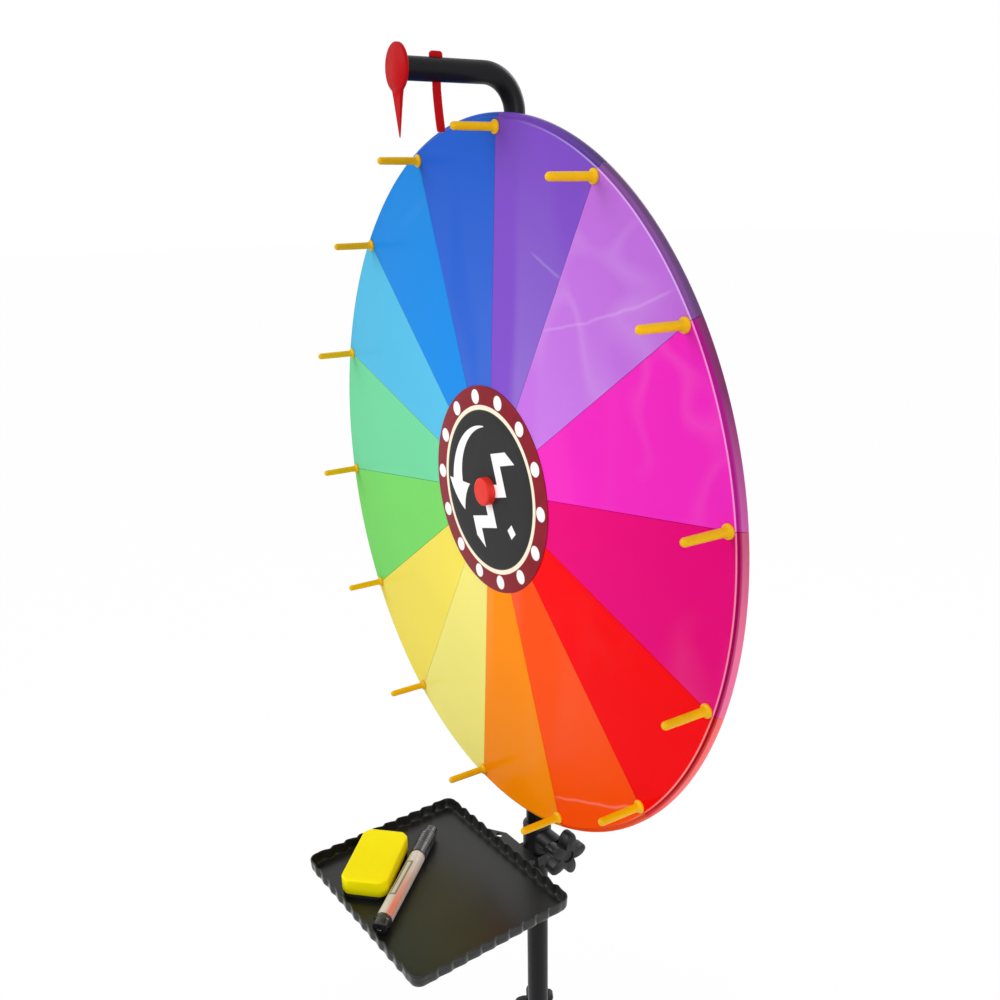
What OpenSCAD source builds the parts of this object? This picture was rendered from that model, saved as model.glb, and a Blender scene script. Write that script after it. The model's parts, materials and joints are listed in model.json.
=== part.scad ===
// Floor standing prize wheel: a sector wheel on a bearing hub, a pointer arm, a tray and a folding stand.
// Millimetres, Z up, the mast stands on the Z axis and the wheel faces -Y.

/* [Wheel] */
// outside diameter of the wheel
wheel_diameter = 610; // [500:5:700]
// height of the wheel axle above the floor
hub_height = 1120; // [1050:5:1200]
// distance from the mast axis to the wheel face
face_forward = 49; // [48:0.5:60]
// turn of the wheel at rest, clockwise from the top
wheel_phase = 4.15; // [0:0.05:12]
// thickness of the coloured face plates
face_plate = 3; // [2:0.5:4]
// depth of the wheel at the rim
rim_depth = 7; // [6:0.5:10]
// rounding of the front rim edge
rim_round = 5; // [2:0.5:5]
// joint line between two face plates
seam_gap = 0.4; // [0.2:0.1:1]

/* [Pegs] */
// distance from the rim to the peg axis
peg_inset = 10.5; // [9.5:0.5:20]
// length of a peg in front of the face
peg_length = 39.5; // [30:0.5:42]
// diameter of a peg
peg_diameter = 6.4; // [5:0.1:7]
// diameter of the flared peg base
peg_flange = 10.6; // [9:0.2:12]

/* [Centre] */
// diameter of the centre disc
disc_diameter = 184; // [140:2:220]
// thickness of the centre disc
disc_thickness = 1; // [0.8:0.1:2]
// diameter of the centre cap
cap_diameter = 25; // [25:0.5:34]
// projection of the cap in front of the disc
cap_height = 7.5; // [7.5:0.5:12]

/* [Hub] */
// diameter of the axle bolt
axle_diameter = 12; // [11:0.5:12]
// outside diameter of a bearing
bearing_outside = 28; // [28:0.5:30]
// width of a bearing
bearing_width = 8; // [7:0.5:8]
// diameter of the hub flange
flange_diameter = 110; // [100:2:130]

/* [Arm and pointer] */
// diameter of the arm tube
arm_diameter = 17; // [16:0.5:18]
// arm axis above the wheel axle
arm_rise = 333.5; // [330:0.5:350]
// bend radius of the arm
arm_bend = 28; // [24:1:40]
// distance from the wheel face to the front of the pointer
pointer_reach = 72; // [64:1:90]
// diameter of the round pointer plate
pointer_plate = 34; // [26:0.5:40]
// distance from the arm axis to the pointer tip
pointer_drop = 47.5; // [40:0.5:50]
// flapper distance in front of the wheel face
flapper_reach = 38; // [34:0.5:40]
// length of the flapper blade
flapper_length = 30; // [26:0.5:30]
// lean of the flapper at rest
flapper_lean = 9.2; // [9:0.1:12]

/* [Mast] */
// diameter of the mast tube
mast_diameter = 22; // [20:0.5:22]
// diameter of the lower tube
lower_tube_diameter = 28; // [27:0.5:30]
// wall of the tubes
tube_wall = 1.4; // [1:0.1:1.6]
// length of mast inside the lower tube
mast_overlap = 290; // [250:5:300]

/* [Tray] */
// width of the tray
tray_width = 206; // [180:2:220]
// depth of the tray from front to back
tray_depth = 172; // [150:1:180]
// height of the tray rim
tray_rim = 12.2; // [10:0.2:14]
// sheet thickness of the tray
tray_sheet = 1.2; // [1:0.1:1.5]
// swing of the tray round the mast
tray_yaw = 4.5; // [0:0.5:10]
// height of the tray floor above the ground
tray_level = 739; // [720:1:745]
// gap between the mast axis and the rear tray edge
tray_gap = 38.5; // [38:0.5:50]
// width of one crimp wave in the rim
crimp_pitch = 16; // [12:0.5:24]
// depth of one crimp wave in the rim
crimp_depth = 1.4; // [0.8:0.1:2]

/* [Eraser and marker] */
// length of the eraser
eraser_length = 80; // [60:1:82]
// width of the eraser
eraser_width = 46; // [36:1:47]
// height of the eraser with its felt
eraser_height = 21.5; // [18:0.5:26]
// length of the marker
marker_length = 148; // [120:1:150]
// diameter of the marker cap
marker_diameter = 17; // [13:0.5:17]

/* [Stand] */
// height of the leg hinges
collar_height = 415; // [400:5:450]
// angle of an opened leg from the mast
leg_splay = 42; // [40:0.5:45]
// diameter of a leg tube
leg_diameter = 18; // [16:0.5:18]
// distance from leg hinge to brace hinge
brace_length = 180; // [160:1:182]
// diameter of the star knobs
knob_diameter = 48; // [40:1:50]

/* [Hidden] */
$fn = 64;

// radial clearance of a sliding or turning fit
run_clear = 0.06;
// radial clearance of a seated fit
seat_clear = 0.02;
// open clearance between bodies that pass each other
pass_clear = 0.5;
// overlap of a cutter past the face it cuts
cut = 1;

sector_count = 14;
pitch_angle = 360 / sector_count;
rim_r = wheel_diameter / 2;
face_r = rim_r - rim_round;
skirt_wall = 3;
board_r = rim_r - skirt_wall - 0.4;
board_thick = rim_depth - face_plate;
sector_inner_r = 40;
peg_r = rim_r - peg_inset;
peg_base_height = 2.4;

// places along Y
face_y = -face_forward;
board_back_y = face_y + rim_depth;
flange_thick = 4;
flange_back_y = board_back_y + flange_thick;
bearing_front_y = face_y + face_plate;
bearing_space = 6;
bearing_mid_y = bearing_front_y + bearing_width;
bearing_rear_y = bearing_mid_y + bearing_space;
hub_back_y = bearing_rear_y + bearing_width;
boss_front_y = hub_back_y + 2;
hub_boss_r = bearing_outside / 2 + 6;
hub_pilot_r = bearing_outside / 2 + 4;
race_inner_r = axle_diameter / 2 + 2;
race_outer_r = bearing_outside / 2 - 2;
ball_count = 8;
bolt_circle_r = flange_diameter / 2 - 13;
bolt_count = 6;
bolt_d = 5;
nut_flats = 18;
nut_height = 7;
washer_thick = 1.5;
cap_wall = 1.4;
disc_front_y = face_y - disc_thickness;
axle_front_y = bearing_front_y - washer_thick - nut_height;

// places on the mast
mast_r = mast_diameter / 2;
lower_r = lower_tube_diameter / 2;
bracket_wall = 5;
bracket_drop = 45;
mast_top = hub_height + 22;
socket_base = hub_height + 36;
socket_length = 48;
socket_top = socket_base + socket_length;
arm_r = arm_diameter / 2;
arm_y = -18;
arm_z = hub_height + arm_rise;
socket_wall = 3.5;
rear_boss_y = mast_r + bracket_wall + 2;
pointer_thick = 3;
pointer_front_y = face_y - pointer_reach;
arm_end_y = pointer_front_y + pointer_thick;
flap_y = face_y - flapper_reach;
flap_width = 7;
flap_thick = 2;
flap_pivot_drop = 5;
flap_pivot_z = arm_z - arm_r - flap_pivot_drop;
flap_pin = 2;
ear_thick = 1.2;

// places on the stand
foot_floor = 8;
collar_gap = 45;
lower_top = collar_height + collar_gap;
sleeve_wall = 5;
sleeve_base = lower_top - 22;
sleeve_top = lower_top + 36;
mast_bottom = lower_top - mast_overlap;
knob_level = lower_top + 18;
pivot_r = lower_r + 18;
collar_wall = 4.5;
collar_half = 20;
pin_d = 5;
ear_plate = 4;
ear_r = 9;
leg_r = leg_diameter / 2;
leg_azimuth = [90, 210, 330];
foot_rise = leg_r * sin(leg_splay) + 5;
leg_length = (collar_height - foot_rise) / cos(leg_splay);
leg_head = 8;
foot_wall = 3.5;
strip_thick = 2.5;
strip_r = 7;
strip_in = leg_r + pass_clear;
strip_out = strip_in + strip_thick;
ring_level = collar_height - 2 * brace_length * cos(leg_splay);
ring_half = 13;

// places on the tray
tray_half_x = tray_width / 2;
tray_half_y = tray_depth / 2;
tray_mid_y = -tray_gap - tray_half_y;
tray_corner = 10;
tray_under = tray_level - tray_sheet;
plate_thick = 3;
tilt_y = -30;
knuckle_r = 8;
tilt_z = tray_under - plate_thick - knuckle_r - 2;
knuckle_half = 8.4;
ear_in = knuckle_half + pass_clear;
ear_out = ear_in + 6;
clamp_wall = 3.5;
clamp_r = mast_r + clamp_wall;
clamp_base = tilt_z - ear_r;
tray_knob_level = tilt_z + 20;
clamp_top = tray_knob_level + 15;
clamp_boss_end = mast_r + 23;
tilt_d = 6;
plate_front = -tray_gap - tray_depth / 3;
plate_rear = tilt_y + 10;
plate_half = tray_width * 0.3;
plate_waist = tray_width * 0.27;
plate_end = 26;
plate_hole_d = 7;
plate_hole_at = [28, tilt_y + 2];
rivet_x = plate_half - 18;
rivet_inset = 9;
rivet_d = 4;

// the knob
knob_stem = 8;
knob_gap = 2;
knob_thick = 14;
knob_boss = 14;
knob_lobes = 5;
mast_knob_azimuth = 150;
lobe_d = knob_diameter * 0.26;

// the loose pieces
item_turn = -47;
eraser_at = [-51, -160.5];
felt_height = 6;
eraser_chamfer = 6;
marker_turn = -51;
marker_at = [-19.6, -143.6];
marker_cap_length = 44;
marker_barrel_d = marker_diameter - 1.4;

// a round bar along Y between two places
module y_bar(d, y0, y1) {
  translate([0, y1, 0])
    rotate([90, 0, 0])
      cylinder(d = d, h = y1 - y0);
}

// a round bar along X between two places
module x_bar(d, x0, x1) {
  translate([x0, 0, 0])
    rotate([0, 90, 0])
      cylinder(d = d, h = x1 - x0);
}

// a tube along Z
module pipe(outer_r, inner_r, z0, z1) {
  translate([0, 0, z0])
    difference() {
      cylinder(r = outer_r, h = z1 - z0);
      translate([0, 0, -cut])
        cylinder(r = inner_r, h = z1 - z0 + 2 * cut);
    }
}

// a ring round the axle
module y_ring(outer_r, inner_r, y0, y1) {
  difference() {
    y_bar(2 * outer_r, y0, y1);
    y_bar(2 * inner_r, y0 - cut, y1 + cut);
  }
}

// a box between two corners
module span_box(a, b) {
  translate(a)
    cube(b - a);
}

// the wheel plane: X right, Y up, Z towards the viewer
module on_wheel() {
  translate([0, face_y, hub_height])
    rotate([90, 0, 0])
      children();
}

module on_axle() {
  translate([0, 0, hub_height])
    children();
}

// clock angle of a peg, turned into a plane angle
function peg_angle(k) = 90 - wheel_phase - k * pitch_angle;
function polar(r, a) = [r * cos(a), r * sin(a)];

module at_pegs() {
  for (k = [0 : sector_count - 1])
    translate(polar(peg_r, peg_angle(k)))
      children();
}

module round_flange() {
  for (k = [0 : bolt_count - 1])
    rotate([0, 0, 30 + k * 360 / bolt_count])
      translate([bolt_circle_r, 0, 0])
        children();
}

// cross section of a face plate with its rounded rim
module sector_profile() {
  rim_arc = [for (i = [0 : 8]) [face_r, -rim_round] + polar(rim_round, 90 - i * 11.25)];
  polygon(concat(
    [[sector_inner_r, -face_plate], [sector_inner_r, 0]],
    rim_arc,
    [[rim_r, -rim_depth], [rim_r - skirt_wall, -rim_depth], [rim_r - skirt_wall, -face_plate]]
  ));
}

// one face plate between peg k and peg k + 1
module sector(k) {
  half = pitch_angle / 2;
  mid = peg_angle(k) - half;
  apex = polar(seam_gap / 2 / sin(half), mid);
  on_wheel()
    difference() {
      intersection() {
        rotate_extrude()
          sector_profile();
        translate([apex[0], apex[1], -rim_depth - cut])
          linear_extrude(height = rim_depth + 2 * cut)
            polygon([[0, 0], polar(2 * rim_r, mid - half), polar(2 * rim_r, mid + half)]);
      }
      for (e = [0 : 1])
        translate(concat(polar(peg_r, peg_angle(k + e)), -rim_depth - cut))
          cylinder(d = peg_diameter + 2 * seat_clear, h = rim_depth + 2 * cut);
    }
}

module sector_01() { color([0.50, 0.31, 0.78]) sector(0); }
module sector_02() { color([0.75, 0.43, 0.86]) sector(1); }
module sector_03() { color([0.94, 0.16, 0.75]) sector(2); }
module sector_04() { color([0.88, 0.00, 0.45]) sector(3); }
module sector_05() { color([0.98, 0.00, 0.00]) sector(4); }
module sector_06() { color([1.00, 0.31, 0.04]) sector(5); }
module sector_07() { color([1.00, 0.55, 0.00]) sector(6); }
module sector_08() { color([0.96, 0.92, 0.43]) sector(7); }
module sector_09() { color([0.96, 0.88, 0.35]) sector(8); }
module sector_10() { color([0.49, 0.86, 0.43]) sector(9); }
module sector_11() { color([0.49, 0.88, 0.65]) sector(10); }
module sector_12() { color([0.35, 0.76, 0.92]) sector(11); }
module sector_13() { color([0.12, 0.55, 0.90]) sector(12); }
module sector_14() { color([0.14, 0.37, 0.80]) sector(13); }

// black backing board inside the rim skirts
module wheel_board() {
  color([0.10, 0.10, 0.11])
    on_wheel()
      difference() {
        translate([0, 0, -rim_depth])
          cylinder(r = board_r, h = board_thick);
        translate([0, 0, -rim_depth - cut])
          cylinder(r = hub_pilot_r + run_clear, h = board_thick + 2 * cut);
        at_pegs()
          translate([0, 0, -rim_depth - cut])
            cylinder(d = peg_diameter + 2 * seat_clear, h = board_thick + 2 * cut);
        round_flange()
          translate([0, 0, -rim_depth - cut])
            cylinder(d = bolt_d + 2 * seat_clear, h = board_thick + 2 * cut);
      }
}

// pegs with a flared base in front and a riveted head behind
module pegs() {
  tip_r = peg_diameter / 2;
  color([0.93, 0.75, 0.20])
    on_wheel()
      at_pegs() {
        translate([0, 0, -rim_depth])
          cylinder(d = peg_diameter, h = rim_depth + peg_length - tip_r);
        translate([0, 0, peg_length - tip_r])
          sphere(d = peg_diameter);
        cylinder(d1 = peg_flange, d2 = peg_diameter, h = peg_base_height);
        translate([0, 0, -rim_depth - 1.6])
          cylinder(d1 = peg_diameter, d2 = peg_diameter + 3, h = 1.6);
      }
}

// bearing housing bolted behind the board
module hub_flange() {
  color([0.62, 0.63, 0.66])
    on_axle()
      difference() {
        union() {
          y_bar(2 * hub_pilot_r, bearing_front_y, board_back_y);
          y_bar(flange_diameter, board_back_y, flange_back_y);
          y_bar(2 * hub_boss_r, flange_back_y, hub_back_y);
        }
        y_bar(bearing_outside + 2 * seat_clear, bearing_front_y - cut, bearing_mid_y);
        y_bar(bearing_outside + 2 * seat_clear, bearing_rear_y, hub_back_y + cut);
        y_bar(2 * race_outer_r, bearing_mid_y - cut, bearing_rear_y + cut);
        rotate([90, 0, 0])
          round_flange()
            translate([0, 0, -flange_back_y - cut])
              cylinder(d = bolt_d + 2 * seat_clear, h = flange_thick + 2 * cut);
      }
}

module flange_bolts() {
  color([0.70, 0.70, 0.72])
    on_axle()
      rotate([90, 0, 0])
        round_flange() {
          translate([0, 0, -flange_back_y])
            cylinder(d = bolt_d, h = flange_thick + board_thick);
          translate([0, 0, -flange_back_y - 2.6])
            cylinder(d1 = 7, d2 = 9.5, h = 2.6);
        }
}

module bearing_outer() {
  color([0.75, 0.76, 0.78])
    on_axle() {
      y_ring(bearing_outside / 2, race_outer_r, bearing_front_y, bearing_mid_y);
      y_ring(bearing_outside / 2, race_outer_r, bearing_rear_y, hub_back_y);
    }
}

module bearing_inner() {
  color([0.75, 0.76, 0.78])
    on_axle() {
      y_ring(race_inner_r, axle_diameter / 2 + seat_clear, bearing_front_y, bearing_mid_y);
      y_ring(race_inner_r, axle_diameter / 2 + seat_clear, bearing_rear_y, hub_back_y);
    }
}

module bearing_balls() {
  ball_d = race_outer_r - race_inner_r - 2 * run_clear;
  orbit = (race_outer_r + race_inner_r) / 2;
  color([0.85, 0.86, 0.88])
    on_axle()
      for (y = [bearing_front_y, bearing_rear_y])
        for (k = [0 : ball_count - 1])
          rotate([0, k * 360 / ball_count, 0])
            translate([orbit, y + bearing_width / 2, 0])
              sphere(d = ball_d);
}

module centre_disc() {
  color([0.23, 0.23, 0.23])
    on_axle()
      y_ring(disc_diameter / 2, nut_flats / 2 + 2, disc_front_y, face_y);
}

// domed cap over the axle nut
module centre_cap() {
  inside = cap_diameter - 2 * cap_wall;
  edge = 1.5;
  color([0.92, 0.25, 0.21])
    on_axle()
      translate([0, disc_front_y, 0])
        rotate([90, 0, 0])
          difference() {
            union() {
              cylinder(d = cap_diameter, h = cap_height - edge);
              translate([0, 0, cap_height - edge])
                cylinder(d1 = cap_diameter, d2 = cap_diameter - 2 * edge, h = edge);
            }
            translate([0, 0, -cut])
              cylinder(d = inside, h = cap_height - cap_wall + cut);
          }
}

module axle_bolt() {
  color([0.72, 0.73, 0.75])
    on_axle() {
      y_bar(axle_diameter, axle_front_y, rear_boss_y);
      translate([0, rear_boss_y + nut_height, 0])
        rotate([90, 0, 0])
          cylinder(d = nut_flats / cos(30), h = nut_height, $fn = 6);
    }
}

module axle_nut() {
  color([0.72, 0.73, 0.75])
    on_axle()
      difference() {
        translate([0, axle_front_y + nut_height, 0])
          rotate([90, 0, 0])
            cylinder(d = nut_flats / cos(30), h = nut_height, $fn = 6);
        y_bar(axle_diameter + 2 * seat_clear, axle_front_y - cut, axle_front_y + nut_height + cut);
      }
}

// washer, race spacer and rear spacer on the axle
module axle_spacers() {
  inside = axle_diameter / 2 + seat_clear;
  color([0.66, 0.67, 0.70])
    on_axle() {
      y_ring(race_inner_r + 0.6, inside, bearing_front_y - washer_thick, bearing_front_y);
      y_ring(race_inner_r, inside, bearing_mid_y, bearing_rear_y);
      y_ring(race_inner_r, inside, hub_back_y, boss_front_y);
    }
}

// cast bracket: mast socket below, axle boss in front, arm socket above
module hub_bracket() {
  color([0.11, 0.11, 0.12])
    on_axle()
      difference() {
        union() {
          translate([0, 0, -bracket_drop])
            cylinder(r = mast_r + bracket_wall, h = bracket_drop + 34);
          y_bar(2 * hub_boss_r - 10, boss_front_y, 0);
          y_bar(2 * hub_boss_r - 14, 0, rear_boss_y);
          translate([0, arm_y, 24])
            cylinder(r = arm_r + socket_wall, h = socket_top - hub_height - 24);
          span_box([-8, arm_y, 18], [8, 0, 34]);
        }
        translate([0, 0, -bracket_drop - cut])
          cylinder(r = mast_r + seat_clear, h = bracket_drop + cut + mast_top - hub_height);
        translate([0, arm_y, socket_base - hub_height])
          cylinder(r = arm_r + seat_clear, h = socket_top - socket_base + cut);
        y_bar(axle_diameter + 2 * seat_clear, boss_front_y - cut, rear_boss_y + cut);
        translate([0, 0, -30])
          y_bar(6 + 2 * seat_clear, 0, mast_r + bracket_wall + cut);
        translate([0, 0, socket_top - hub_height - 14])
          y_bar(6 + 2 * seat_clear, arm_y, arm_y + arm_r + socket_wall + cut);
      }
}

// clamp screws of the mast and arm sockets
module bracket_screws() {
  color([0.70, 0.70, 0.72])
    on_axle() {
      translate([0, 0, -30]) {
        y_bar(6, mast_r + seat_clear, mast_r + bracket_wall);
        y_bar(10, mast_r + bracket_wall, mast_r + bracket_wall + 4);
      }
      translate([0, arm_y, socket_top - hub_height - 14]) {
        y_bar(6, arm_r + seat_clear, arm_r + socket_wall);
        y_bar(10, arm_r + socket_wall, arm_r + socket_wall + 4);
      }
    }
}

// the path of the arm, filled to a radius
module arm_path(r, extra) {
  translate([0, arm_y, socket_base - extra])
    cylinder(r = r, h = arm_z - arm_bend - socket_base + extra);
  translate([0, arm_y - arm_bend, arm_z - arm_bend])
    rotate([90, 0, 90])
      rotate_extrude(angle = 90)
        translate([arm_bend, 0])
          circle(r = r);
  translate([0, 0, arm_z])
    y_bar(2 * r, arm_end_y - extra, arm_y - arm_bend);
}

module arm_tube() {
  color([0.06, 0.06, 0.07])
    difference() {
      arm_path(arm_r, 0);
      arm_path(arm_r - tube_wall, cut);
      translate([0, flap_y, arm_z])
        cube([flap_thick + 2 * seat_clear, flap_width + 2 * seat_clear, 4 * arm_r], center = true);
    }
}

// round plate with a tapered blade and a plug in the arm end
module pointer() {
  blade_top = 17;
  color([0.75, 0.12, 0.16])
    translate([0, arm_end_y, arm_z]) {
      rotate([90, 0, 0]) {
        cylinder(d = pointer_plate, h = pointer_thick);
        linear_extrude(height = pointer_thick)
          polygon([
            [-8, -10], [8, -10], [6.5, -blade_top],
            [0.8, -pointer_drop], [-0.8, -pointer_drop], [-6.5, -blade_top]
          ]);
      }
      y_bar(2 * (arm_r - tube_wall - run_clear), 0, 15);
    }
}

// strip through the arm with a head on top and a hinge fork below
module flapper_head() {
  fork_half = flap_width / 2 + 0.2;
  fork_top = arm_z - arm_r - 0.05;
  arm_top = arm_z + arm_r;
  head_half = flap_width / 2 + 1.7;
  head_rise = 4.2;
  color([0.72, 0.08, 0.12])
    translate([0, flap_y, 0]) {
      span_box([-flap_thick / 2, -flap_width / 2, fork_top - 1.2], [flap_thick / 2, flap_width / 2, arm_top]);
      span_box([-2.5, -head_half, arm_top], [2.5, head_half, arm_top + head_rise]);
      span_box([-2, -fork_half - ear_thick, fork_top - 1.2], [2, fork_half + ear_thick, fork_top]);
      for (s = [-1, 1])
        translate([0, s * (fork_half + ear_thick / 2), 0])
          span_box([-2, -ear_thick / 2, flap_pivot_z - 2], [2, ear_thick / 2, fork_top]);
      translate([0, 0, flap_pivot_z])
        y_bar(flap_pin, -fork_half - ear_thick, fork_half + ear_thick);
    }
}

module flapper_blade() {
  half = flap_width / 2 - 0.1;
  color([0.78, 0.10, 0.14])
    translate([0, flap_y, flap_pivot_z])
      rotate([0, -flapper_lean, 0])
        difference() {
          union() {
            y_bar(3.6, -half, half);
            span_box([-flap_thick / 2, -half, -flapper_length], [flap_thick / 2, half, 0]);
          }
          y_bar(flap_pin + 2 * run_clear, -half - cut, half + cut);
        }
}

// upper tube that carries the head and slides in the stand
module mast_tube() {
  color([0.05, 0.05, 0.06])
    difference() {
      pipe(mast_r, mast_r - tube_wall, mast_bottom, mast_top);
      on_axle()
        y_bar(axle_diameter + 2 * seat_clear, -2 * mast_r, 2 * mast_r);
    }
}

// plastic glide on the lower end of the mast
module mast_glide() {
  color([0.20, 0.20, 0.21])
    union() {
      pipe(lower_r - tube_wall - run_clear, mast_r + seat_clear, mast_bottom, mast_bottom + 24);
      pipe(lower_r - tube_wall - run_clear, mast_r - tube_wall, mast_bottom - 3, mast_bottom);
    }
}

module lower_tube() {
  color([0.05, 0.05, 0.06])
    pipe(lower_r, lower_r - tube_wall, foot_floor, lower_top);
}

module pole_foot() {
  color([0.09, 0.09, 0.09])
    difference() {
      union() {
        cylinder(r1 = lower_r + 7, r2 = lower_r + 5, h = 10);
        cylinder(r = lower_r + 3, h = 32);
      }
      translate([0, 0, foot_floor])
        cylinder(r = lower_r + seat_clear, h = 32);
    }
}

// a star knob on a screw along X, its head starting at x1
module star_knob(x0, x1) {
  arm_half = lobe_d * 0.41;
  x_bar(knob_stem, x0, x1 + 2);
  x_bar(knob_diameter * 0.36, x1 - knob_gap, x1);
  difference() {
    union() {
      x_bar(knob_diameter * 0.46, x1, x1 + knob_thick);
      for (k = [0 : knob_lobes - 1])
        rotate([k * 360 / knob_lobes, 0, 0])
          translate([0, knob_diameter / 2 - lobe_d / 2, 0])
            x_bar(lobe_d, x1, x1 + knob_thick);
      for (k = [0 : knob_lobes - 1])
        rotate([k * 360 / knob_lobes, 0, 0])
          span_box([x1, 0, -arm_half], [x1 + knob_thick, knob_diameter / 2 - lobe_d / 2, arm_half]);
    }
    x_bar(knob_diameter * 0.2, x1 + knob_thick - 2, x1 + knob_thick + cut);
  }
}

// sleeve on the lower tube that guides and locks the mast
module mast_sleeve() {
  boss_end = lower_r + sleeve_wall + knob_boss;
  color([0.09, 0.09, 0.10])
    difference() {
      union() {
        translate([0, 0, sleeve_base])
          cylinder(r = lower_r + sleeve_wall, h = sleeve_top - sleeve_base - 4);
        translate([0, 0, sleeve_top - 4])
          cylinder(r1 = lower_r + sleeve_wall, r2 = lower_r + 1, h = 4);
        translate([0, 0, knob_level])
          rotate([0, 0, mast_knob_azimuth])
            x_bar(22, 0, boss_end);
      }
      translate([0, 0, sleeve_base - cut])
        cylinder(r = lower_r + seat_clear, h = lower_top - sleeve_base + cut);
      translate([0, 0, lower_top - cut])
        cylinder(r = mast_r + run_clear, h = sleeve_top - lower_top + 2 * cut);
      translate([0, 0, knob_level])
        rotate([0, 0, mast_knob_azimuth])
          x_bar(knob_stem + 2 * run_clear, 0, boss_end + cut);
    }
}

module mast_knob() {
  color([0.07, 0.07, 0.08])
    translate([0, 0, knob_level])
      rotate([0, 0, mast_knob_azimuth])
        star_knob(mast_r + pass_clear, lower_r + sleeve_wall + knob_boss + knob_gap + pass_clear);
}

// a place in the plane of one leg: X outwards, Z up
module at_leg(k) {
  rotate([0, 0, leg_azimuth[k]])
    children();
}

module on_leg(k) {
  at_leg(k)
    translate([pivot_r, 0, collar_height])
      rotate([0, -leg_splay, 0])
        children();
}

module leg_collar() {
  inner = leg_r + pass_clear;
  color([0.09, 0.09, 0.10])
    difference() {
      union() {
        translate([0, 0, collar_height - collar_half])
          cylinder(r = lower_r + collar_wall, h = 2 * collar_half);
        for (k = [0 : 2])
          at_leg(k)
            for (s = [-1, 1])
              translate([0, s * (inner + ear_plate / 2), collar_height]) {
                span_box([lower_r - 6, -ear_plate / 2, -ear_r], [pivot_r, ear_plate / 2, ear_r]);
                translate([pivot_r, 0, 0])
                  y_bar(2 * ear_r, -ear_plate / 2, ear_plate / 2);
              }
      }
      translate([0, 0, collar_height - collar_half - cut])
        cylinder(r = lower_r + seat_clear, h = 2 * collar_half + 2 * cut);
      for (k = [0 : 2])
        at_leg(k)
          translate([pivot_r, 0, collar_height])
            y_bar(pin_d + 2 * seat_clear, -inner - 2 * ear_plate, inner + 2 * ear_plate);
    }
}

module leg_pins() {
  reach = leg_r + pass_clear + ear_plate;
  color([0.70, 0.70, 0.72])
    for (k = [0 : 2])
      at_leg(k)
        translate([pivot_r, 0, collar_height]) {
          y_bar(pin_d, -reach, reach);
          y_bar(pin_d + 4, reach, reach + 2);
          y_bar(pin_d + 4, -reach - 2, -reach);
        }
}

// leg tube with the brace pin through it
module leg(k) {
  reach = strip_out + 0.4;
  color([0.06, 0.06, 0.07])
    on_leg(k) {
      difference() {
        pipe(leg_r, leg_r - tube_wall, -leg_length, leg_head);
        y_bar(pin_d + 2 * run_clear, -2 * leg_r, 2 * leg_r);
      }
      translate([0, 0, -brace_length]) {
        y_bar(pin_d, -reach, reach);
        y_bar(pin_d + 4, reach, reach + 2);
        y_bar(pin_d + 4, -reach - 2, -reach);
      }
    }
}

module leg_1() { leg(0); }
module leg_2() { leg(1); }
module leg_3() { leg(2); }

// rubber foot cut flat by the floor
module foot(k) {
  reach = 60;
  color([0.09, 0.09, 0.09])
    difference() {
      on_leg(k)
        translate([0, 0, -leg_length - 30])
          difference() {
            union() {
              cylinder(r = leg_r + foot_wall, h = 62);
              cylinder(r = leg_r + foot_wall + 2.5, h = 38);
            }
            translate([0, 0, 30])
              cylinder(r = leg_r + seat_clear, h = 62);
          }
      at_leg(k)
        translate([pivot_r + leg_length * sin(leg_splay) - reach, -reach, -2 * reach])
          cube([2 * reach, 2 * reach, 2 * reach]);
    }
}

module foot_1() { foot(0); }
module foot_2() { foot(1); }
module foot_3() { foot(2); }

// two strips that straddle the leg and the ring tongue
module brace(k) {
  color([0.55, 0.56, 0.58])
    at_leg(k)
      translate([pivot_r + brace_length * sin(leg_splay), 0, collar_height - brace_length * cos(leg_splay)])
        rotate([0, leg_splay, 0]) {
          for (s = [-1, 1])
            translate([0, s * (strip_in + strip_thick / 2), 0])
              difference() {
                union() {
                  y_bar(2 * strip_r, -strip_thick / 2, strip_thick / 2);
                  span_box([-strip_r, -strip_thick / 2, -brace_length], [strip_r, strip_thick / 2, 0]);
                  translate([0, 0, -brace_length])
                    y_bar(2 * strip_r, -strip_thick / 2, strip_thick / 2);
                }
                y_bar(pin_d + 2 * run_clear, -strip_thick, strip_thick);
                translate([0, 0, -brace_length])
                  y_bar(pin_d + 2 * run_clear, -strip_thick, strip_thick);
              }
          translate([0, 0, -brace_length / 2])
            y_bar(6, -strip_in - 0.5, strip_in + 0.5);
        }
}

module brace_1() { brace(0); }
module brace_2() { brace(1); }
module brace_3() { brace(2); }

// ring that slides on the lower tube and carries the brace ends
module spreader_ring() {
  color([0.09, 0.09, 0.10])
    translate([0, 0, ring_level])
      difference() {
        union() {
          translate([0, 0, -ring_half])
            cylinder(r = lower_r + collar_wall, h = 2 * ring_half);
          for (k = [0 : 2])
            at_leg(k) {
              span_box([lower_r - 6, -leg_r, -strip_r], [pivot_r, leg_r, strip_r]);
              translate([pivot_r, 0, 0])
                y_bar(2 * strip_r, -leg_r, leg_r);
            }
        }
        translate([0, 0, -ring_half - cut])
          cylinder(r = lower_r + run_clear, h = 2 * ring_half + 2 * cut);
        for (k = [0 : 2])
          at_leg(k)
            translate([pivot_r, 0, 0])
              y_bar(pin_d + 2 * run_clear, -2 * leg_r, 2 * leg_r);
      }
}

module on_tray() {
  rotate([0, 0, tray_yaw])
    children();
}

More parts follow.
